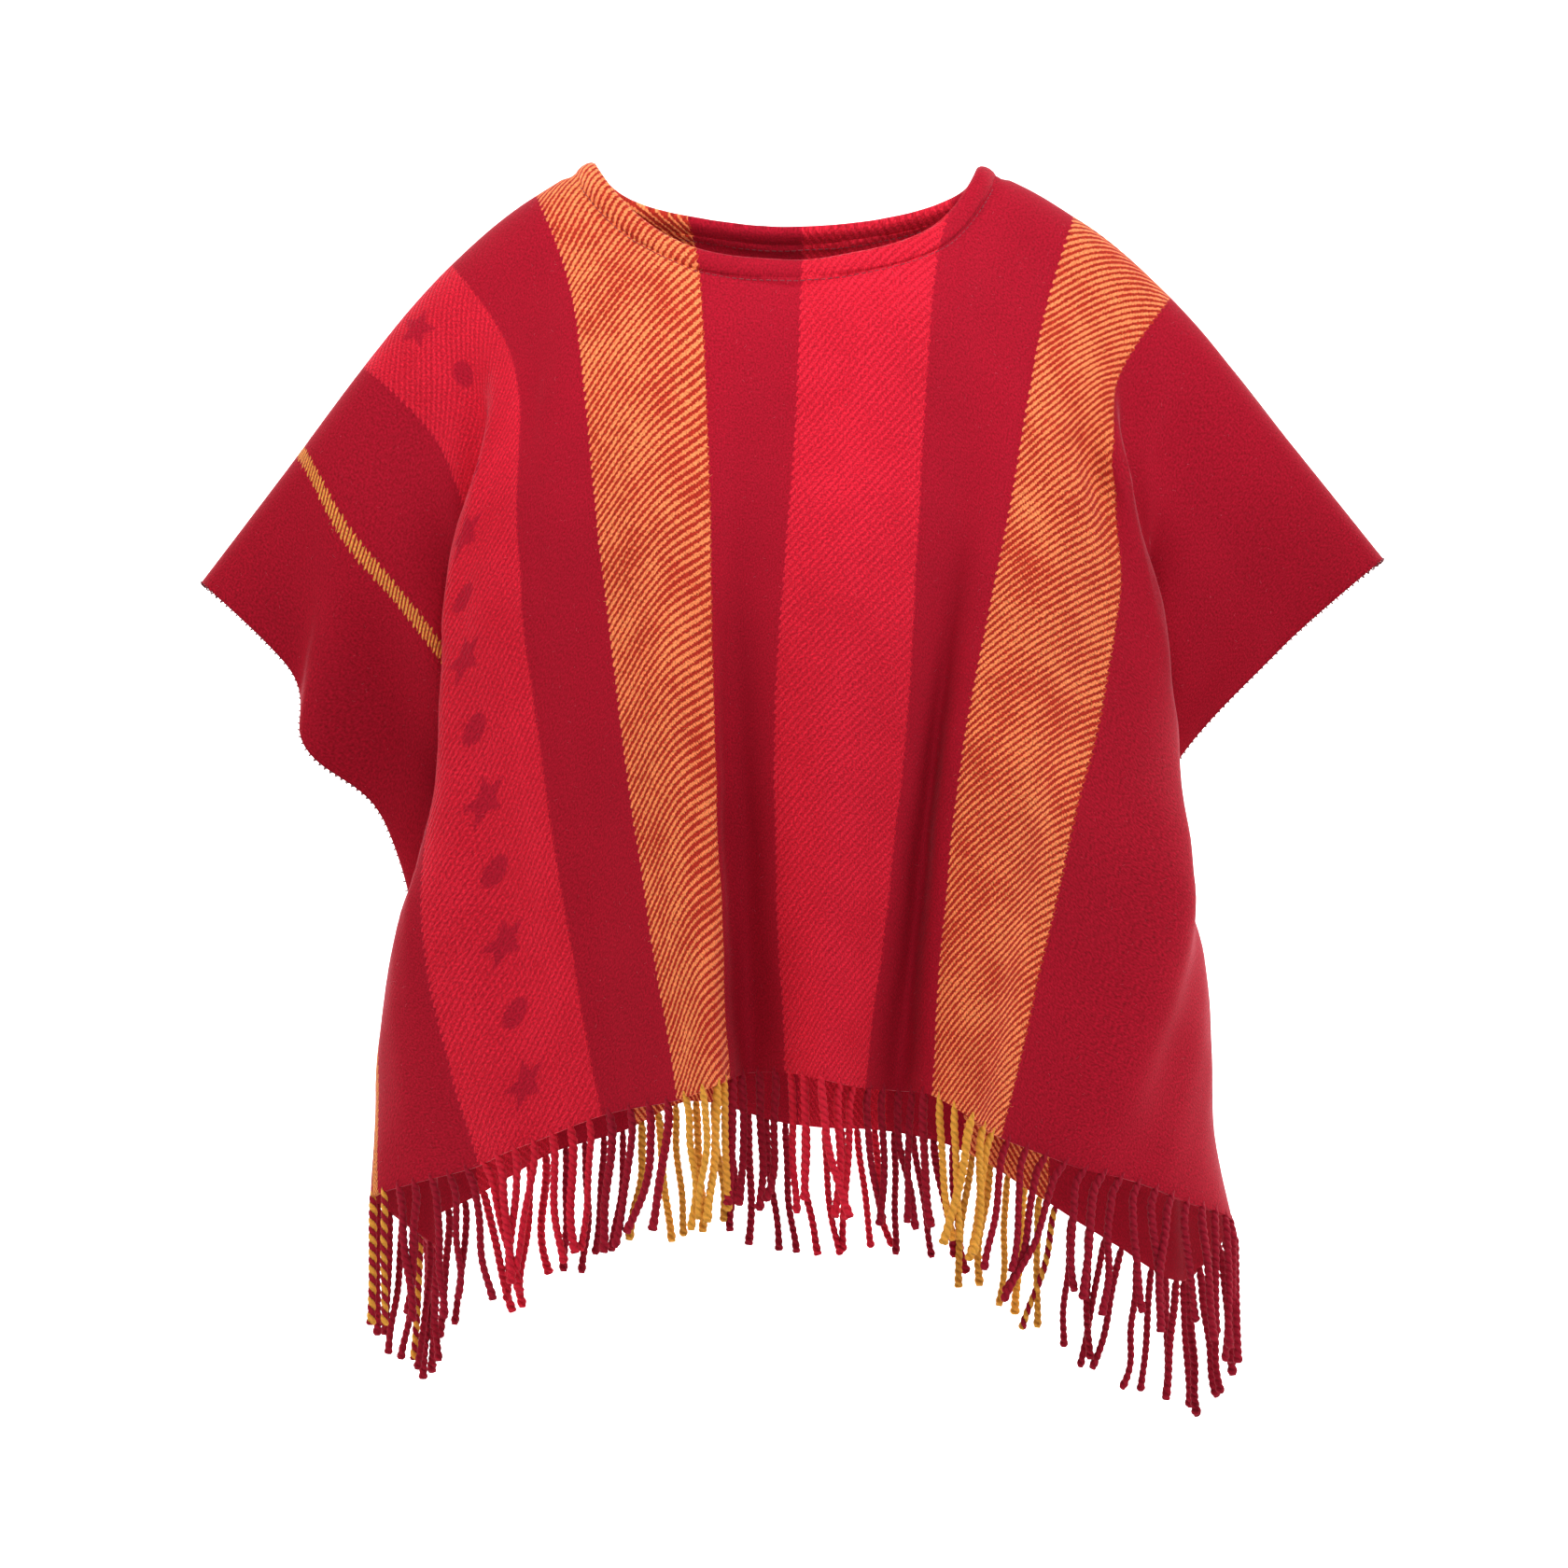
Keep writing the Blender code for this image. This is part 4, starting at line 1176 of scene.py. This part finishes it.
def twill_material():
    """Wool twill, yarn-dyed, woven in stripes and brushed.

    The red weft crosses a crimson, red or yellow warp in slanting lines, so the yellow stripes
    read as orange. The brushed nap blurs the lines, and its sheen lightens what turns away.
    """
    cloth, _ = settings()
    tree, shader = new_material(
        "brushed_wool_twill",
        {
            "Specular IOR Level": 0.12,
            "Sheen Weight": 0.28,
            "Sheen Roughness": 0.24,
            "Sheen Tint": (*linear("#ffb2c0"), 1.0),
        },
    )
    uv = add_node(tree, "ShaderNodeUVMap", uv_map="cloth")
    flat = add_node(tree, "ShaderNodeVectorMath", operation="SCALE", i0=uv, Scale=1 / MM)
    split = add_node(tree, "ShaderNodeSeparateXYZ", Vector=flat)
    across, along = split.outputs["X"], split.outputs["Y"]
    noises = {}
    for name, scale, detail in NAP_NOISES:
        noises[name] = add_node(
            tree, "ShaderNodeTexNoise", noise_dimensions="2D",
            Vector=flat, Scale=scale, Detail=detail,
        )
    # Twill lines climb to the right at 45 degrees on the cloth, and waver by part of a thread.
    both = skewed_lines(tree, across, along)
    waver = add_node(
        tree, "ShaderNodeMath", operation="MULTIPLY_ADD", i0=noises["thread"], i1=1.9, i2=both
    )
    angle = 2 * math.pi / (math.sqrt(2) * cloth.twill_pitch / MM)
    phase = add_node(tree, "ShaderNodeMath", operation="MULTIPLY", i0=waver, i1=angle)
    wave = add_node(tree, "ShaderNodeMath", operation="SINE", i0=phase)
    # Along each line the floats of single threads follow each other like beads.
    other = add_node(tree, "ShaderNodeMath", operation="SUBTRACT", i0=across, i1=along)
    turns = add_node(
        tree, "ShaderNodeMath", operation="MULTIPLY", i0=other, i1=2 * math.pi / FLOAT_LENGTH
    )
    bead = add_node(tree, "ShaderNodeMath", operation="SINE", i0=turns)
    beaded = add_node(tree, "ShaderNodeMath", operation="MULTIPLY_ADD", i0=bead, i1=0.28, i2=wave)
    mottled = add_node(
        tree, "ShaderNodeMath", operation="MULTIPLY_ADD", i0=noises["patch"], i1=2.0, i2=beaded
    )
    crisp = add_node(
        tree, "ShaderNodeMapRange", interpolation_type="SMOOTHSTEP", Value=mottled,
        From_Min=0.58, From_Max=1.72,
    )
    # The stripes' edges are serrated by the lines' ends.
    serrated = add_node(
        tree, "ShaderNodeMath", operation="MULTIPLY_ADD", i0=wave, i1=0.75, i2=across
    )
    edge = add_node(
        tree, "ShaderNodeMath", operation="MULTIPLY_ADD", i0=noises["thread"], i1=1.2, i2=serrated
    )
    edge = add_node(tree, "ShaderNodeMath", operation="SUBTRACT", i0=edge, i1=0.6)
    # The alpha of the warp's ramp is how far the lines show through the nap.
    warp = stripe_ramp(
        tree, edge,
        {
            "crimson": (*cloth.crimson, 0.1),
            "red": (*cloth.red, 0.75),
            "yellow": (*cloth.yellow, 1.0),
            "thin_line": (*cloth.thin_yellow, 1.0),
        },
    )
    ground = stripe_ramp(
        tree, edge,
        {
            "crimson": (*linear("#7d0d20"), 0.0),
            "red": (*cloth.red_shade, 0.0),
            "yellow": (*cloth.weft, 0.0),
            "thin_line": (*cloth.crimson, 1.0),
        },
    )
    # The thin yellow line shows as two rows of short dashes.
    rows = add_node(tree, "ShaderNodeMath", operation="MULTIPLY", i0=across, i1=1.45)
    dashes = add_node(
        tree, "ShaderNodeMath", operation="MULTIPLY_ADD",
        i0=along, i1=2 * math.pi / DASH_PITCH, i2=rows,
    )
    dash = add_node(tree, "ShaderNodeMath", operation="SINE", i0=dashes)
    dash = add_node(
        tree, "ShaderNodeMapRange", interpolation_type="SMOOTHSTEP", Value=dash,
        From_Min=-0.9, From_Max=0.3,
    )
    lines = add_node(
        tree, "ShaderNodeMix", data_type="FLOAT", i0=ground.outputs["Alpha"], i2=crisp, i3=dash
    )
    gap = add_node(tree, "ShaderNodeMath", operation="SUBTRACT", i0=1.0, i1=lines)
    hidden = add_node(
        tree, "ShaderNodeMath", operation="MULTIPLY", i0=gap, i1=warp.outputs["Alpha"]
    )
    colour = add_node(
        tree, "ShaderNodeMix", data_type="RGBA", i0=hidden, i6=warp, i7=ground
    )
    run = add_node(tree, "ShaderNodeAttribute", attribute_name="motif_run")
    mask = motif_mask(tree, across, run.outputs["Fac"])
    faint = add_node(tree, "ShaderNodeMath", operation="MULTIPLY", i0=mask, i1=0.8)
    colour = add_node(
        tree, "ShaderNodeMix", data_type="RGBA", i0=faint, i6=colour, i7=(*cloth.motif, 1.0)
    )
    # Light and dark fibres, and slow unevenness of the dye.
    fleck = add_node(
        tree, "ShaderNodeMath", operation="MULTIPLY_ADD", i0=noises["fibre"], i1=1.7, i2=0.15
    )
    dye = add_node(
        tree, "ShaderNodeMath", operation="MULTIPLY_ADD", i0=noises["blot"], i1=0.2, i2=0.9
    )
    bright = add_node(tree, "ShaderNodeMath", operation="MULTIPLY", i0=fleck, i1=dye)
    toned = add_node(tree, "ShaderNodeHueSaturation", Color=colour, Value=bright)
    tree.links.new(toned.outputs[0], shader.inputs["Base Color"])
    rough = add_node(
        tree, "ShaderNodeMath", operation="MULTIPLY_ADD", i0=noises["fibre"], i1=0.12, i2=0.82
    )
    tree.links.new(rough.outputs[0], shader.inputs["Roughness"])
    relief = add_node(
        tree, "ShaderNodeMath", operation="MULTIPLY", i0=lines, i1=warp.outputs["Alpha"]
    )
    height = add_node(
        tree, "ShaderNodeMath", operation="MULTIPLY_ADD", i0=noises["fibre"], i1=0.6, i2=relief
    )
    bump = add_node(tree, "ShaderNodeBump", Height=height, Strength=0.6, Distance=0.0006)
    tree.links.new(bump.outputs[0], shader.inputs["Normal"])


def yarn_material():
    """Wool yarn, spun and twisted in pairs: each ply shows its own fine turns and loose fibres."""
    tree, shader = new_material(
        "twisted_wool_yarn",
        {
            "Roughness": 0.85,
            "Specular IOR Level": 0.12,
            "Sheen Weight": 0.1,
            "Sheen Roughness": 0.4,
            "Sheen Tint": (*linear("#ffb4b4"), 1.0),
        },
    )
    colour = add_node(tree, "ShaderNodeAttribute", attribute_name="yarn")
    down = add_node(tree, "ShaderNodeAttribute", attribute_name="down")
    around = add_node(tree, "ShaderNodeAttribute", attribute_name="around")
    crest = add_node(tree, "ShaderNodeAttribute", attribute_name="crest")
    place = add_node(tree, "ShaderNodeTexCoord")
    fibre = add_node(
        tree, "ShaderNodeTexNoise", Vector=place.outputs["Object"], Scale=1400.0, Detail=3.0
    )
    # Fine turns of the ply itself, drawn coarse enough to show.
    run = add_node(
        tree, "ShaderNodeMath", operation="DIVIDE", i0=down.outputs["Fac"], i1=0.0034
    )
    turns = add_node(
        tree, "ShaderNodeMath", operation="ADD", i0=run, i1=around.outputs["Fac"]
    )
    angle = add_node(tree, "ShaderNodeMath", operation="MULTIPLY", i0=turns, i1=2 * math.pi)
    spin = add_node(tree, "ShaderNodeMath", operation="SINE", i0=angle)
    # Painted shade: the base colour darkens in the groove between the plies.
    ridge = add_node(
        tree, "ShaderNodeMapRange", interpolation_type="SMOOTHSTEP", Value=crest.outputs["Fac"],
        From_Min=0.34, From_Max=0.72, To_Min=0.55, To_Max=1.04,
    )
    mottle = add_node(
        tree, "ShaderNodeMath", operation="MULTIPLY_ADD", i0=fibre, i1=0.5, i2=0.75
    )
    spun = add_node(
        tree, "ShaderNodeMath", operation="MULTIPLY_ADD", i0=spin, i1=0.06, i2=mottle
    )
    bright = add_node(tree, "ShaderNodeMath", operation="MULTIPLY", i0=spun, i1=ridge)
    toned = add_node(
        tree, "ShaderNodeHueSaturation", Color=colour.outputs["Color"], Value=bright
    )
    tree.links.new(toned.outputs[0], shader.inputs["Base Color"])
    height = add_node(tree, "ShaderNodeMath", operation="MULTIPLY_ADD", i0=spin, i1=0.3, i2=fibre)
    bump = add_node(tree, "ShaderNodeBump", Height=height, Strength=0.6, Distance=0.0004)
    tree.links.new(bump.outputs[0], shader.inputs["Normal"])


def thread_material():
    """Spun polyester sewing thread, matched to the crimson: a little smoother and lighter. Its colour
    is drawn darker than the cloth, partly painted shade, so that the stitches in the neck's groove
    read as its shadow line.
    """
    tree, shader = new_material(
        "sewing_thread", {"Roughness": 0.6, "Sheen Weight": 0.28, "Specular IOR Level": 0.3}
    )
    place = add_node(tree, "ShaderNodeTexCoord")
    noise = add_node(
        tree, "ShaderNodeTexNoise", Vector=place.outputs["Object"], Scale=900.0, Detail=2.0
    )
    # Painted shade: both of the thread's colours lie darker than the crimson cloth, so the stitches
    # read as the shadow of the neck's groove.
    colour = add_node(
        tree, "ShaderNodeMix", data_type="RGBA", i0=noise,
        i6=(*linear("#5e0b1a"), 1.0), i7=(*linear("#8a1a2e"), 1.0),
    )
    tree.links.new(colour.outputs[2], shader.inputs["Base Color"])
    bump = add_node(tree, "ShaderNodeBump", Height=noise, Strength=0.4, Distance=0.0002)
    tree.links.new(bump.outputs[0], shader.inputs["Normal"])


def fibre_material():
    """Single wool fibres that the brushing raised: they only soften the cloth and its outline."""
    tree, shader = new_material(
        "raised_wool_fibre",
        {"Roughness": 0.8, "Sheen Weight": 0.3, "Sheen Tint": (*linear("#ffb0c0"), 1.0)},
    )
    colour = add_node(tree, "ShaderNodeAttribute", attribute_name="fibre")
    place = add_node(tree, "ShaderNodeTexCoord")
    noise = add_node(tree, "ShaderNodeTexNoise", Vector=place.outputs["Object"], Scale=300.0)
    bright = add_node(
        tree, "ShaderNodeMath", operation="MULTIPLY_ADD", i0=noise, i1=0.5, i2=0.8
    )
    toned = add_node(
        tree, "ShaderNodeHueSaturation", Color=colour.outputs["Color"], Value=bright
    )
    tree.links.new(toned.outputs[0], shader.inputs["Base Color"])


def floor_material():
    """Matt white paper sweep, with the slightest cloudiness of real paper."""
    tree, shader = new_material("white_paper_sweep", {"Roughness": 0.9})
    place = add_node(tree, "ShaderNodeTexCoord")
    noise = add_node(
        tree, "ShaderNodeTexNoise", Vector=place.outputs["Object"], Scale=3.0, Detail=2.0
    )
    colour = add_node(
        tree, "ShaderNodeMix", data_type="RGBA", i0=noise,
        i6=(*linear("#fafafa"), 1.0), i7=(*linear("#fefefe"), 1.0),
    )
    tree.links.new(colour.outputs[2], shader.inputs["Base Color"])


def stitch_points(name, points, runs, outs):
    """Loose points that carry the way along an edge and the way out of it."""
    mesh = bpy.data.meshes.new(name)
    mesh.from_pydata([tuple(p) for p in np.concatenate(points) * MM], [], [])
    for label, values in (("run", runs), ("out", outs)):
        made = mesh.attributes.new(label, "FLOAT_VECTOR", "POINT")
        made.data.foreach_set("vector", np.concatenate(values).astype(np.float32).ravel())
    return mesh


def spaced(points, others, step):
    """Places at an even step along a line: points, the line's ways and the other vectors there."""
    away = np.linalg.norm(np.diff(points, axis=0), axis=1)
    run = np.concatenate(([0.0], np.cumsum(away)))
    count = max(2, int(run[-1] / step))
    at = np.linspace(0, run[-1], count + 1)[:-1] + run[-1] / count / 2
    where, ahead, behind, vectors = (
        np.column_stack([np.interp(place, run, axis) for axis in values.T])
        for place, values in ((at, points), (at + 0.5, points), (at - 0.5, points), (at, others))
    )
    ways = ahead - behind
    ways /= np.linalg.norm(ways, axis=1)[:, None]
    return where, ways, vectors / np.linalg.norm(vectors, axis=1)[:, None]


def length_property(label, description, default, least, most):
    """A length in metres, for the sidebar."""
    return bpy.props.FloatProperty(
        name=label, description=description, default=default,
        min=least, max=most, unit="LENGTH", precision=5,
    )


def colour_property(label, description, code):
    """A colour, from its sRGB hex code, for the sidebar."""
    return bpy.props.FloatVectorProperty(
        name=label, description=description, default=linear(code),
        size=3, min=0.0, max=1.0, subtype="COLOR",
    )


class PonchoCloth(bpy.types.PropertyGroup):
    """The cloth's wall, its weave and its colours"""

    thickness: length_property("Cloth thickness", "Wall of the wool twill", 0.0024, 0.001, 0.004)
    twill_pitch: length_property(
        "Twill pitch", "Distance between two slanting lines of the weave", 0.0034, 0.001, 0.01
    )
    hem_tuck: length_property(
        "Cloth under the hem", "How far the cloth reaches under the neck's roll", 0.0022, 0.0, 0.005
    )
    roll_height: length_property(
        "Neck roll height", "Thickness of the rolled neck hem", 0.0066, 0.002, 0.009
    )
    crimson: colour_property("Crimson", "Crimson warp", "#a20f25")
    red: colour_property("Red", "Red warp", "#d42036")
    red_shade: colour_property("Red between the lines", "Weft in the red stripes", "#b81426")
    yellow: colour_property("Yellow", "Yellow warp under its nap", "#f58c56")
    thin_yellow: colour_property("Thin line", "Yellow of the thin line", "#e59a48")
    weft: colour_property("Red weft", "Weft lines in the yellow stripes", "#b02c20")
    motif: colour_property("Motifs", "Woven stars and dots", "#a31129")


class PonchoFringe(bpy.types.PropertyGroup):
    """The strands' lengths, their twist, their hang and their colours"""

    length: length_property("Strand length", "From the hem to the tip", 0.0725, 0.02, 0.15)
    length_spread: length_property(
        "Length spread", "Longest less shortest strand", 0.009, 0.0, 0.03
    )
    ply_width: length_property("Ply width", "Width of one of the two plies", 0.0036, 0.001, 0.006)
    turn_length: length_property(
        "Turn length", "Cord that one full turn of the twist takes", 0.0084, 0.003, 0.03
    )
    sway: length_property("Sway", "How far the tips lean along the hem", 0.0088, 0.0, 0.03)
    swing: length_property("Swing", "How far the tips lean in and out", 0.0032, 0.0, 0.02)
    crimson_yarn: colour_property("Crimson yarn", "Crimson fringe", "#9f162c")
    red_yarn: colour_property("Red yarn", "Red fringe", "#d42036")
    yellow_yarn: colour_property("Yellow yarn", "Yellow fringe", "#eaa440")


class PONCHO_OT_materials(bpy.types.Operator):
    """Makes the wool, yarn, thread and fibre materials"""

    bl_idname = "poncho.materials"
    bl_label = "Make the materials"

    def execute(self, context):
        twill_material()
        yarn_material()
        thread_material()
        fibre_material()
        return {"FINISHED"}


class PONCHO_OT_cloth(bpy.types.Operator):
    """Hangs the cloth: one thin shell, front and back"""

    bl_idname = "poncho.cloth"
    bl_label = "Hang the cloth"

    def execute(self, context):
        cloth = build_cloth(bpy.data.materials["brushed_wool_twill"])
        mark_cloth(cloth)
        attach(cloth, BODY)
        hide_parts("front", "back")
        return {"FINISHED"}


class PONCHO_OT_neck_hem(bpy.types.Operator):
    """Builds the rolled hem round the neck"""

    bl_idname = "poncho.neck_hem"
    bl_label = "Build the neck hem"

    def execute(self, context):
        roll = build_neck_hem(bpy.data.materials["brushed_wool_twill"])
        mark_cloth(roll)
        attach(roll, BODY)
        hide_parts("neck_hem")
        return {"FINISHED"}


class PONCHO_OT_fringe(bpy.types.Operator):
    """Twists the fringe, one piece for each stripe of each half"""

    bl_idname = "poncho.fringe"
    bl_label = "Twist the fringe"

    def execute(self, context):
        _, fringe = settings()
        tree = fringe_tree()
        values = {
            "Ply width": fringe.ply_width,
            "Turn length": fringe.turn_length,
            "Step": STRAND_STEP * MM,
            "Sides": STRAND_SIDES,
            "Yarn": bpy.data.materials["twisted_wool_yarn"],
        }
        draw = random.Random(FRINGE_SEED)
        for half in halves():
            start = 0.0
            for stripe, end, colour in STRIPES:
                mesh = strand_lines(half, stripe, start, end, draw)
                strands = run_tree(f"strands_{half.name}_{stripe}", mesh, tree, values)
                face_outwards(strands)
                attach(strands, BODY)
                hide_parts(f"fringe_{half.name}_{stripe}")
                start = end
        return {"FINISHED"}


class PONCHO_OT_stitches(bpy.types.Operator):
    """Sews the overcast cuffs and side seams, and the stitch line under the neck's roll"""

    bl_idname = "poncho.stitches"
    bl_label = "Sew the stitches"

    def execute(self, context):
        tree = stitch_tree()
        for side in ("left", "right"):
            self.sew(tree, f"cuff_stitches_{side}", self.cuff(side), *STITCH_SIZE["cuff"])
            self.sew(tree, f"seam_stitches_{side}", self.seam(side), *STITCH_SIZE["seam"])
        self.sew(tree, "neck_stitches", self.neck(), *STITCH_SIZE["neck"])
        return {"FINISHED"}

    def sew(self, tree, name, places, width, height, thread):
        """One piece: a stitch at each of these places."""
        values = {
            "Stitch width": width * MM,
            "Stitch height": height * MM,
            "Thread": thread * MM,
            "Material": bpy.data.materials["sewing_thread"],
        }
        sewn = run_tree(name, stitch_points(name + "_points", *places), tree, values)
        face_outwards(sewn)
        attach(sewn, BODY)

    def edge_line(self, half, side, start, end):
        """The selvedge of one half: its points, and the way the cloth faces along it."""
        along = np.linspace(start, end, EDGE_SAMPLES)
        across = np.full_like(along, EDGE_INSET if side == "left" else CLOTH_WIDTH - EDGE_INSET)
        return half.at(across, along), half.normals(across, along)

    def cuff(self, side):
        """Stitches that wrap the open selvedges: each arches away from the cloth."""
        points, runs, outs = [], [], []
        outwards = np.array((-1.0 if side == "left" else 1.0, 0.0, 0.0))
        for half in halves():
            line, faces = self.edge_line(half, side, CUFF_FROM, SEAM_TOP[side])
            where, ways, face = spaced(line, faces, STITCH_STEP["cuff"])
            edge = np.cross(ways, face)
            edge *= np.sign(edge @ outwards)[:, None]
            points.append(where)
            runs.append(face)
            outs.append(edge)
        return points, runs, outs

    def seam(self, side):
        """Stitches across the closed side seam, below the cuff."""
        half = halves()[0]
        across = 0.0 if side == "left" else CLOTH_WIDTH
        hem = half.length_at(np.array([across]))[0]
        line, faces = self.edge_line(half, side, SEAM_TOP[side], hem - SEAM_SHORT)
        where, ways, face = spaced(line, faces, STITCH_STEP["seam"])
        outwards = np.cross(ways, face)
        outwards *= np.sign(outwards[:, 0] * (1 if side == "right" else -1))[:, None]
        return [where + outwards * SEAM_LIFT], [face], [outwards]

    def neck(self):
        """The line of stitches that holds the turned hem, outside and inside."""
        points, runs, outs = [], [], []
        for half in halves():
            turn = even_turns(half.name, NECK_HEM_WIDTH, NECK_SAMPLES)
            across, along = neck_curve(half.name, NECK_HEM_WIDTH + GROOVE_AT, turn)
            normal = half.normals(across, along)
            for lift in (NECK_STITCH_LIFT, -NECK_STITCH_LIFT):
                line = half.at(across, along, lift)
                where, ways, face = spaced(line, normal, STITCH_STEP["neck"])
                points.append(where)
                runs.append(ways)
                outs.append(face * math.copysign(1.0, lift))
        return points, runs, outs


class PONCHO_OT_nap(bpy.types.Operator):
    """Raises single wool fibres over the cloth"""

    bl_idname = "poncho.nap"
    bl_label = "Raise the nap"

    def execute(self, context):
        cloth = bpy.data.objects["cloth"]
        evaluated = cloth.evaluated_get(context.evaluated_depsgraph_get())
        skin = bpy.data.meshes.new_from_object(evaluated)
        values = {
            "Fibres per square metre": FIBRE_DENSITY,
            "Fibre length": FIBRE_LENGTH * MM,
            "Fibre radius": FIBRE_RADIUS * MM,
            "Seed": FIBRE_SEED,
            "Wool": bpy.data.materials["raised_wool_fibre"],
        }
        fibres = run_tree("raised_fibres", skin, fibre_tree(), values)
        face_outwards(fibres)
        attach(fibres, BODY)
        return {"FINISHED"}


class PONCHO_OT_declare(bpy.types.Operator):
    """Works out the area of the cloth as cut, less the neck's hole; nothing uses it."""

    bl_idname = "poncho.declare"
    bl_label = "Declare the cloth"

    def execute(self, context):
        across = np.linspace(0, CLOTH_WIDTH, AREA_SAMPLES)
        area = CLOTH_WIDTH * sum(half.length_at(across).mean() for half in halves())
        for half in ("front", "back"):
            places = neck_curve(half, 0.0, np.linspace(0, math.pi, AREA_SAMPLES))
            area -= float(np.trapz(places[1], places[0]))
        return {"FINISHED"}


class PONCHO_OT_stage(bpy.types.Operator):
    """Sets the white paper sweep, the soft studio lights and the camera"""

    bl_idname = "poncho.stage"
    bl_label = "Set the stage"

    def execute(self, context):
        # Standard keeps the dyed colours as strong as they are in daylight.
        context.scene.view_settings.view_transform = "Standard"
        self.sweep()
        self.lights(context)
        self.camera(context)
        return {"FINISHED"}

    def sweep(self):
        """A floor that turns up into a backdrop in one wide curve."""
        profile = [(-SWEEP_SIZE, 0.0)]
        for turn in np.linspace(0, math.pi / 2, SWEEP_STEPS):
            profile.append((
                SWEEP_AWAY - SWEEP_CURVE * (1 - math.sin(turn)), SWEEP_CURVE * (1 - math.cos(turn))
            ))
        profile.append((SWEEP_AWAY, SWEEP_SIZE))
        points = [(x, y, z) for y, z in profile for x in (-SWEEP_SIZE, SWEEP_SIZE)]
        faces = [(2 * k, 2 * k + 1, 2 * k + 3, 2 * k + 2) for k in range(len(profile) - 1)]
        floor = mesh_object("floor", np.array(points) / MM, faces, floor_material())
        floor.data.transform(Matrix.Translation((0.0, 0.0, FLOOR_Z)))

    def lights(self, context):
        """Soft lamps round the poncho, and a faint even light from all sides."""
        world = bpy.data.worlds.new("studio")
        context.scene.world = world
        world.use_nodes = True
        background = world.node_tree.nodes["Background"]
        background.inputs["Color"].default_value = (1.0, 1.0, 1.0, 1.0)
        background.inputs["Strength"].default_value = WORLD_LIGHT
        for name, place, aim, size, spread, power, colour in LAMPS:
            lamp = bpy.data.lights.new(name, "AREA")
            lamp.size = size
            lamp.spread = math.radians(spread)
            lamp.energy = power
            lamp.color = linear(colour)
            made = bpy.data.objects.new(name, lamp)
            made.visible_camera = False
            context.scene.collection.objects.link(made)
            made.location = place
            way = Vector(aim) - Vector(place)
            made.rotation_euler = way.to_track_quat("-Z", "Y").to_euler()

    def camera(self, context):
        """The photo's camera, four metres in front."""
        lens = bpy.data.cameras.new("camera")
        lens.sensor_width = SENSOR
        lens.lens = SENSOR * -CAMERA_AT[1] / FRAME_WIDTH
        lens.clip_end = FAR_CLIP
        made = bpy.data.objects.new("camera", lens)
        context.scene.collection.objects.link(made)
        made.location = CAMERA_AT
        made.rotation_euler = (math.pi / 2, 0.0, 0.0)
        context.scene.camera = made


class PONCHO_PT_sidebar(bpy.types.Panel):
    """Lists the poncho's pieces in the 3D view's sidebar"""

    bl_idname = "PONCHO_PT_sidebar"
    bl_label = "Fringed wool poncho"
    bl_space_type = "VIEW_3D"
    bl_region_type = "UI"
    bl_category = "Poncho"

    def draw(self, context):
        layout = self.layout
        for group in (context.scene.poncho_cloth, context.scene.poncho_fringe):
            column = layout.column()
            for name in group.__annotations__:
                column.prop(group, name)
        for operator in OPERATORS:
            layout.operator(operator.bl_idname)


OPERATORS = (
    PONCHO_OT_materials,
    PONCHO_OT_cloth,
    PONCHO_OT_neck_hem,
    PONCHO_OT_fringe,
    PONCHO_OT_stitches,
    PONCHO_OT_nap,
    PONCHO_OT_declare,
    PONCHO_OT_stage,
)
CLASSES = (PonchoCloth, PonchoFringe, *OPERATORS, PONCHO_PT_sidebar)


def register():
    for item in CLASSES:
        bpy.utils.register_class(item)
    bpy.types.Scene.poncho_cloth = bpy.props.PointerProperty(type=PonchoCloth)
    bpy.types.Scene.poncho_fringe = bpy.props.PointerProperty(type=PonchoFringe)


def unregister():
    del bpy.types.Scene.poncho_fringe
    del bpy.types.Scene.poncho_cloth
    for item in reversed(CLASSES):
        bpy.utils.unregister_class(item)


def main():
    register()
    bpy.ops.poncho.materials()
    bpy.ops.poncho.cloth()
    bpy.ops.poncho.neck_hem()
    bpy.ops.poncho.fringe()
    bpy.ops.poncho.stitches()
    bpy.ops.poncho.nap()
    bpy.ops.poncho.declare()
    bpy.ops.poncho.stage()


if __name__ == "__main__":
    main()
